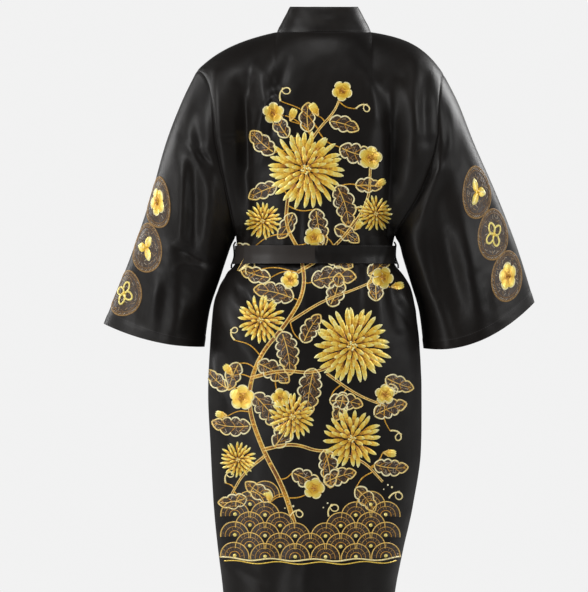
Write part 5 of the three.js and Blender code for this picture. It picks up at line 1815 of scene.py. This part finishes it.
def roundel_motif(kind):
    if kind == "blossom":
        blossom(0, 0, 24, 0.3)
    elif kind == "leaves":
        for k in range(3):
            path = turned(bent_line(25, 0.5, 12), 2 * np.pi * k / 3)
            t = np.linspace(0, 1, 12)
            half = 8.5 * np.sin(np.pi * (0.06 + 0.9 * t)) ** 0.8
            patch(gold, path, half, PETAL_LIFT, 1.0, mix(0.4, 0.95, t)[:, None])
            cord(pale, path[1:-1], 1.6, PETAL_LIFT + 1.0, 0.9)
        dot(gold, np.zeros(2), 4.6, PETAL_LIFT + 0.8, 0.5)
    else:
        for k in range(4):
            turn = np.linspace(0, 2 * np.pi, 26)
            loop = np.stack([7.5 * np.cos(turn), 10.5 * np.sin(turn) + 12], axis=1)
            weave = PETAL_LIFT + 0.5 * np.sin(turn * 2)[:, None]
            cord(gold, turned(loop, k * np.pi / 2), 4.0, weave, 0.8)
        dot(gold, np.zeros(2), 4.4, PETAL_LIFT + 0.9, 0.6)


for side, word in SIDES:
    for k, (x, z, kind) in enumerate(ROUNDELS[side]):
        gold, pale, brown = Stitches(), Stitches(), Stitches()
        roundel_frame()
        roundel_motif(kind)
        embroider_all(f"roundel_{word}_{k + 1}", SleeveChart(side, x, z))

# %% [markdown]
# ## Sewing lines
#
# Topstitching holds the neckband, the belt, the hem and the cuffs flat. A line of stitches is a run of
# short raised bars with a small gap between them. They are again one joined mesh for each line.

# %% Rows of machine stitches
STITCH_LENGTH = 3.4
STITCH_PITCH = 4.6
STITCH_WIDE = 0.9
STITCH_HIGH = 0.35
sewing, sewing_tree, sewing_shader = new_material("sewing_thread", "sewing_thread", 0.5)
strands = node(sewing_tree, "ShaderNodeTexNoise", Scale=900.0)
SEWING_BLACKS = [(0.3, (0.010, 0.009, 0.009)), (0.8, (0.030, 0.027, 0.026))]
sewing_blacks = ramp(sewing_tree, strands.outputs["Fac"], SEWING_BLACKS)
sewing_tree.links.new(sewing_blacks, sewing_shader.inputs["Base Color"])


def stitch_line(path, normals):
    run = run_lengths(path, 0)
    starts = np.arange(2, run[-1] - STITCH_PITCH, STITCH_PITCH)
    at = starts[:, None] + np.array([0, 0.5, 1]) * STITCH_LENGTH
    place = np.stack([np.interp(at, run, path[:, k]) for k in range(3)], axis=-1)
    out = unit(np.stack([np.interp(at, run, normals[:, k]) for k in range(3)], axis=-1))
    aside = unit(np.cross(unit(place[:, 2:] - place[:, :1]), out))
    across = np.array([-0.5, 0, 0.5])[None, None, :, None] * STITCH_WIDE
    high = np.array([[-0.15, 0, -0.15], [0, 1, 0], [-0.15, 0, -0.15]])[None, :, :, None] * STITCH_HIGH
    grid = place[:, :, None, :] + aside[:, :, None, :] * across + out[:, :, None, :] * high
    _, quads = grid_quads(3, 3)
    quads = (quads[None] + 9 * np.arange(len(starts))[:, None, None]).reshape(-1, 4)
    return grid.reshape(-1, 3), quads


def sew(name, lines):
    vertices, quads, count = [], [], 0
    for path, normals in lines:
        made, faces = stitch_line(path, normals)
        vertices.append(made)
        quads.append(faces + count)
        count += len(made)
    piece = new_mesh(name, np.concatenate(vertices), np.concatenate(quads), sewing)
    print(name, count // 9, "stitches")


band_columns = (3, len(across) - 4)
sew("neckband_stitches", [(band_face[:, j], band_out[:, j]) for j in band_columns])
belt_rows = (2, belt_face.shape[0] - 3)
sew("belt_stitches", [(belt_face[i], belt_out[i]) for i in belt_rows])


def hem_line(panel, grid, heights):
    row = int(np.argmin(np.abs(heights.ravel() - HEM - HEM_DEPTH)))
    normals = panel_normals(panel, grid)
    return grid[row] + normals[row] * HEM_THICK / 2, normals[row]


def cuff_line(side):
    _, outer, normals = sleeves[side]
    run = run_lengths(outer, 0)
    row = int(np.argmin(np.abs((run[-1:] - run).mean(axis=1) - CUFF_HEM)))
    return tuple(np.concatenate([grid[row], grid[row][:1]]) for grid in (outer, normals))


hems = [hem_line(BACK, back_grid, back_heights)]
hems += [hem_line(FRONT[side], front_grids[side], front_heights) for side in (1, -1)]
sew("hem_stitches", hems)
sew("cuff_stitches", [cuff_line(side) for side in (1, -1)])

# %% [markdown]
# ## Floor, light and background
#
# Black satin shows mostly what it mirrors. A white room would turn it grey, so the room is dim where the
# satin mirrors it and near white only where the camera looks past the robe. Large soft lamps then draw the
# broad highlights along the folds, from behind, from the front and from both sides.

# %% Studio
FLOOR_Z = -1.50
FLOOR_SIZE = 9
FLOOR_COLOUR = (0.62, 0.62, 0.62)
BACKGROUND = 0.885
ROOM = 0.07

floor_mesh = bpy.data.meshes.new("floor")
half = FLOOR_SIZE / 2
corners = [(x * half, y * half, FLOOR_Z) for x, y in ((-1, -1), (1, -1), (1, 1), (-1, 1))]
floor_mesh.from_pydata(corners, [], [(0, 1, 2, 3)])
floor = bpy.data.objects.new("floor", floor_mesh)
floor_finish, _, floor_shader = new_material("pale_floor", "", 0.9)
floor_shader.inputs["Base Color"].default_value = (*FLOOR_COLOUR, 1)
floor_mesh.materials.append(floor_finish)
bpy.context.scene.collection.objects.link(floor)

world = bpy.data.worlds.new("room")
world.use_nodes = True
bpy.context.scene.world = world
seen = node(world.node_tree, "ShaderNodeBackground", Strength=1.0)
seen.inputs["Color"].default_value = (BACKGROUND, BACKGROUND, BACKGROUND, 1)
room = world.node_tree.nodes["Background"]
room.inputs["Color"].default_value = (ROOM, ROOM, ROOM, 1)
path = node(world.node_tree, "ShaderNodeLightPath")
choice = node(world.node_tree, "ShaderNodeMixShader")
for k, source in enumerate((path.outputs["Is Camera Ray"], room.outputs[0], seen.outputs[0])):
    world.node_tree.links.new(source, choice.inputs[k])
world.node_tree.links.new(choice.outputs[0], world.node_tree.nodes["World Output"].inputs["Surface"])

LAMPS = [  # name, place in metres, size in metres, power in watts
    ("key_back_left", (2.7, 2.0, 1.1), 1.2, 54),
    ("low_back_left", (2.3, 2.5, -1.0), 0.9, 16),
    ("fill_back_right", (-2.9, 1.7, 0.5), 1.3, 34),
    ("high_back", (0.1, 1.6, 2.4), 1.3, 26),
    ("key_front_right", (-2.7, -2.0, 1.1), 1.2, 64),
    ("fill_front_left", (2.9, -1.7, 0.5), 1.3, 34),
    ("side_left", (3.0, 0.0, -0.2), 1.2, 6),
    ("side_right", (-3.0, 0.0, -0.2), 1.2, 6),
]
AIM = Vector((0, 0, -0.5))
for name, place, size, power in LAMPS:
    lamp = bpy.data.lights.new(name, "AREA")
    lamp.shape = "SQUARE"
    lamp.size = size
    lamp.energy = power
    light = bpy.data.objects.new(name, lamp)
    light.location = place
    light.rotation_euler = (AIM - Vector(place)).to_track_quat("-Z", "Y").to_euler()
    bpy.context.scene.collection.objects.link(light)
bpy.context.scene.view_settings.view_transform = "Standard"
print("lamps:", len(LAMPS))

# %% [markdown]
# ## The finish
#
# The belt's hanging ends are looked up by name, and the scene is brought up to date.

for side, word in SIDES:
    end = bpy.data.objects[f"belt_end_{word}_cloth"]

bpy.context.view_layer.update()
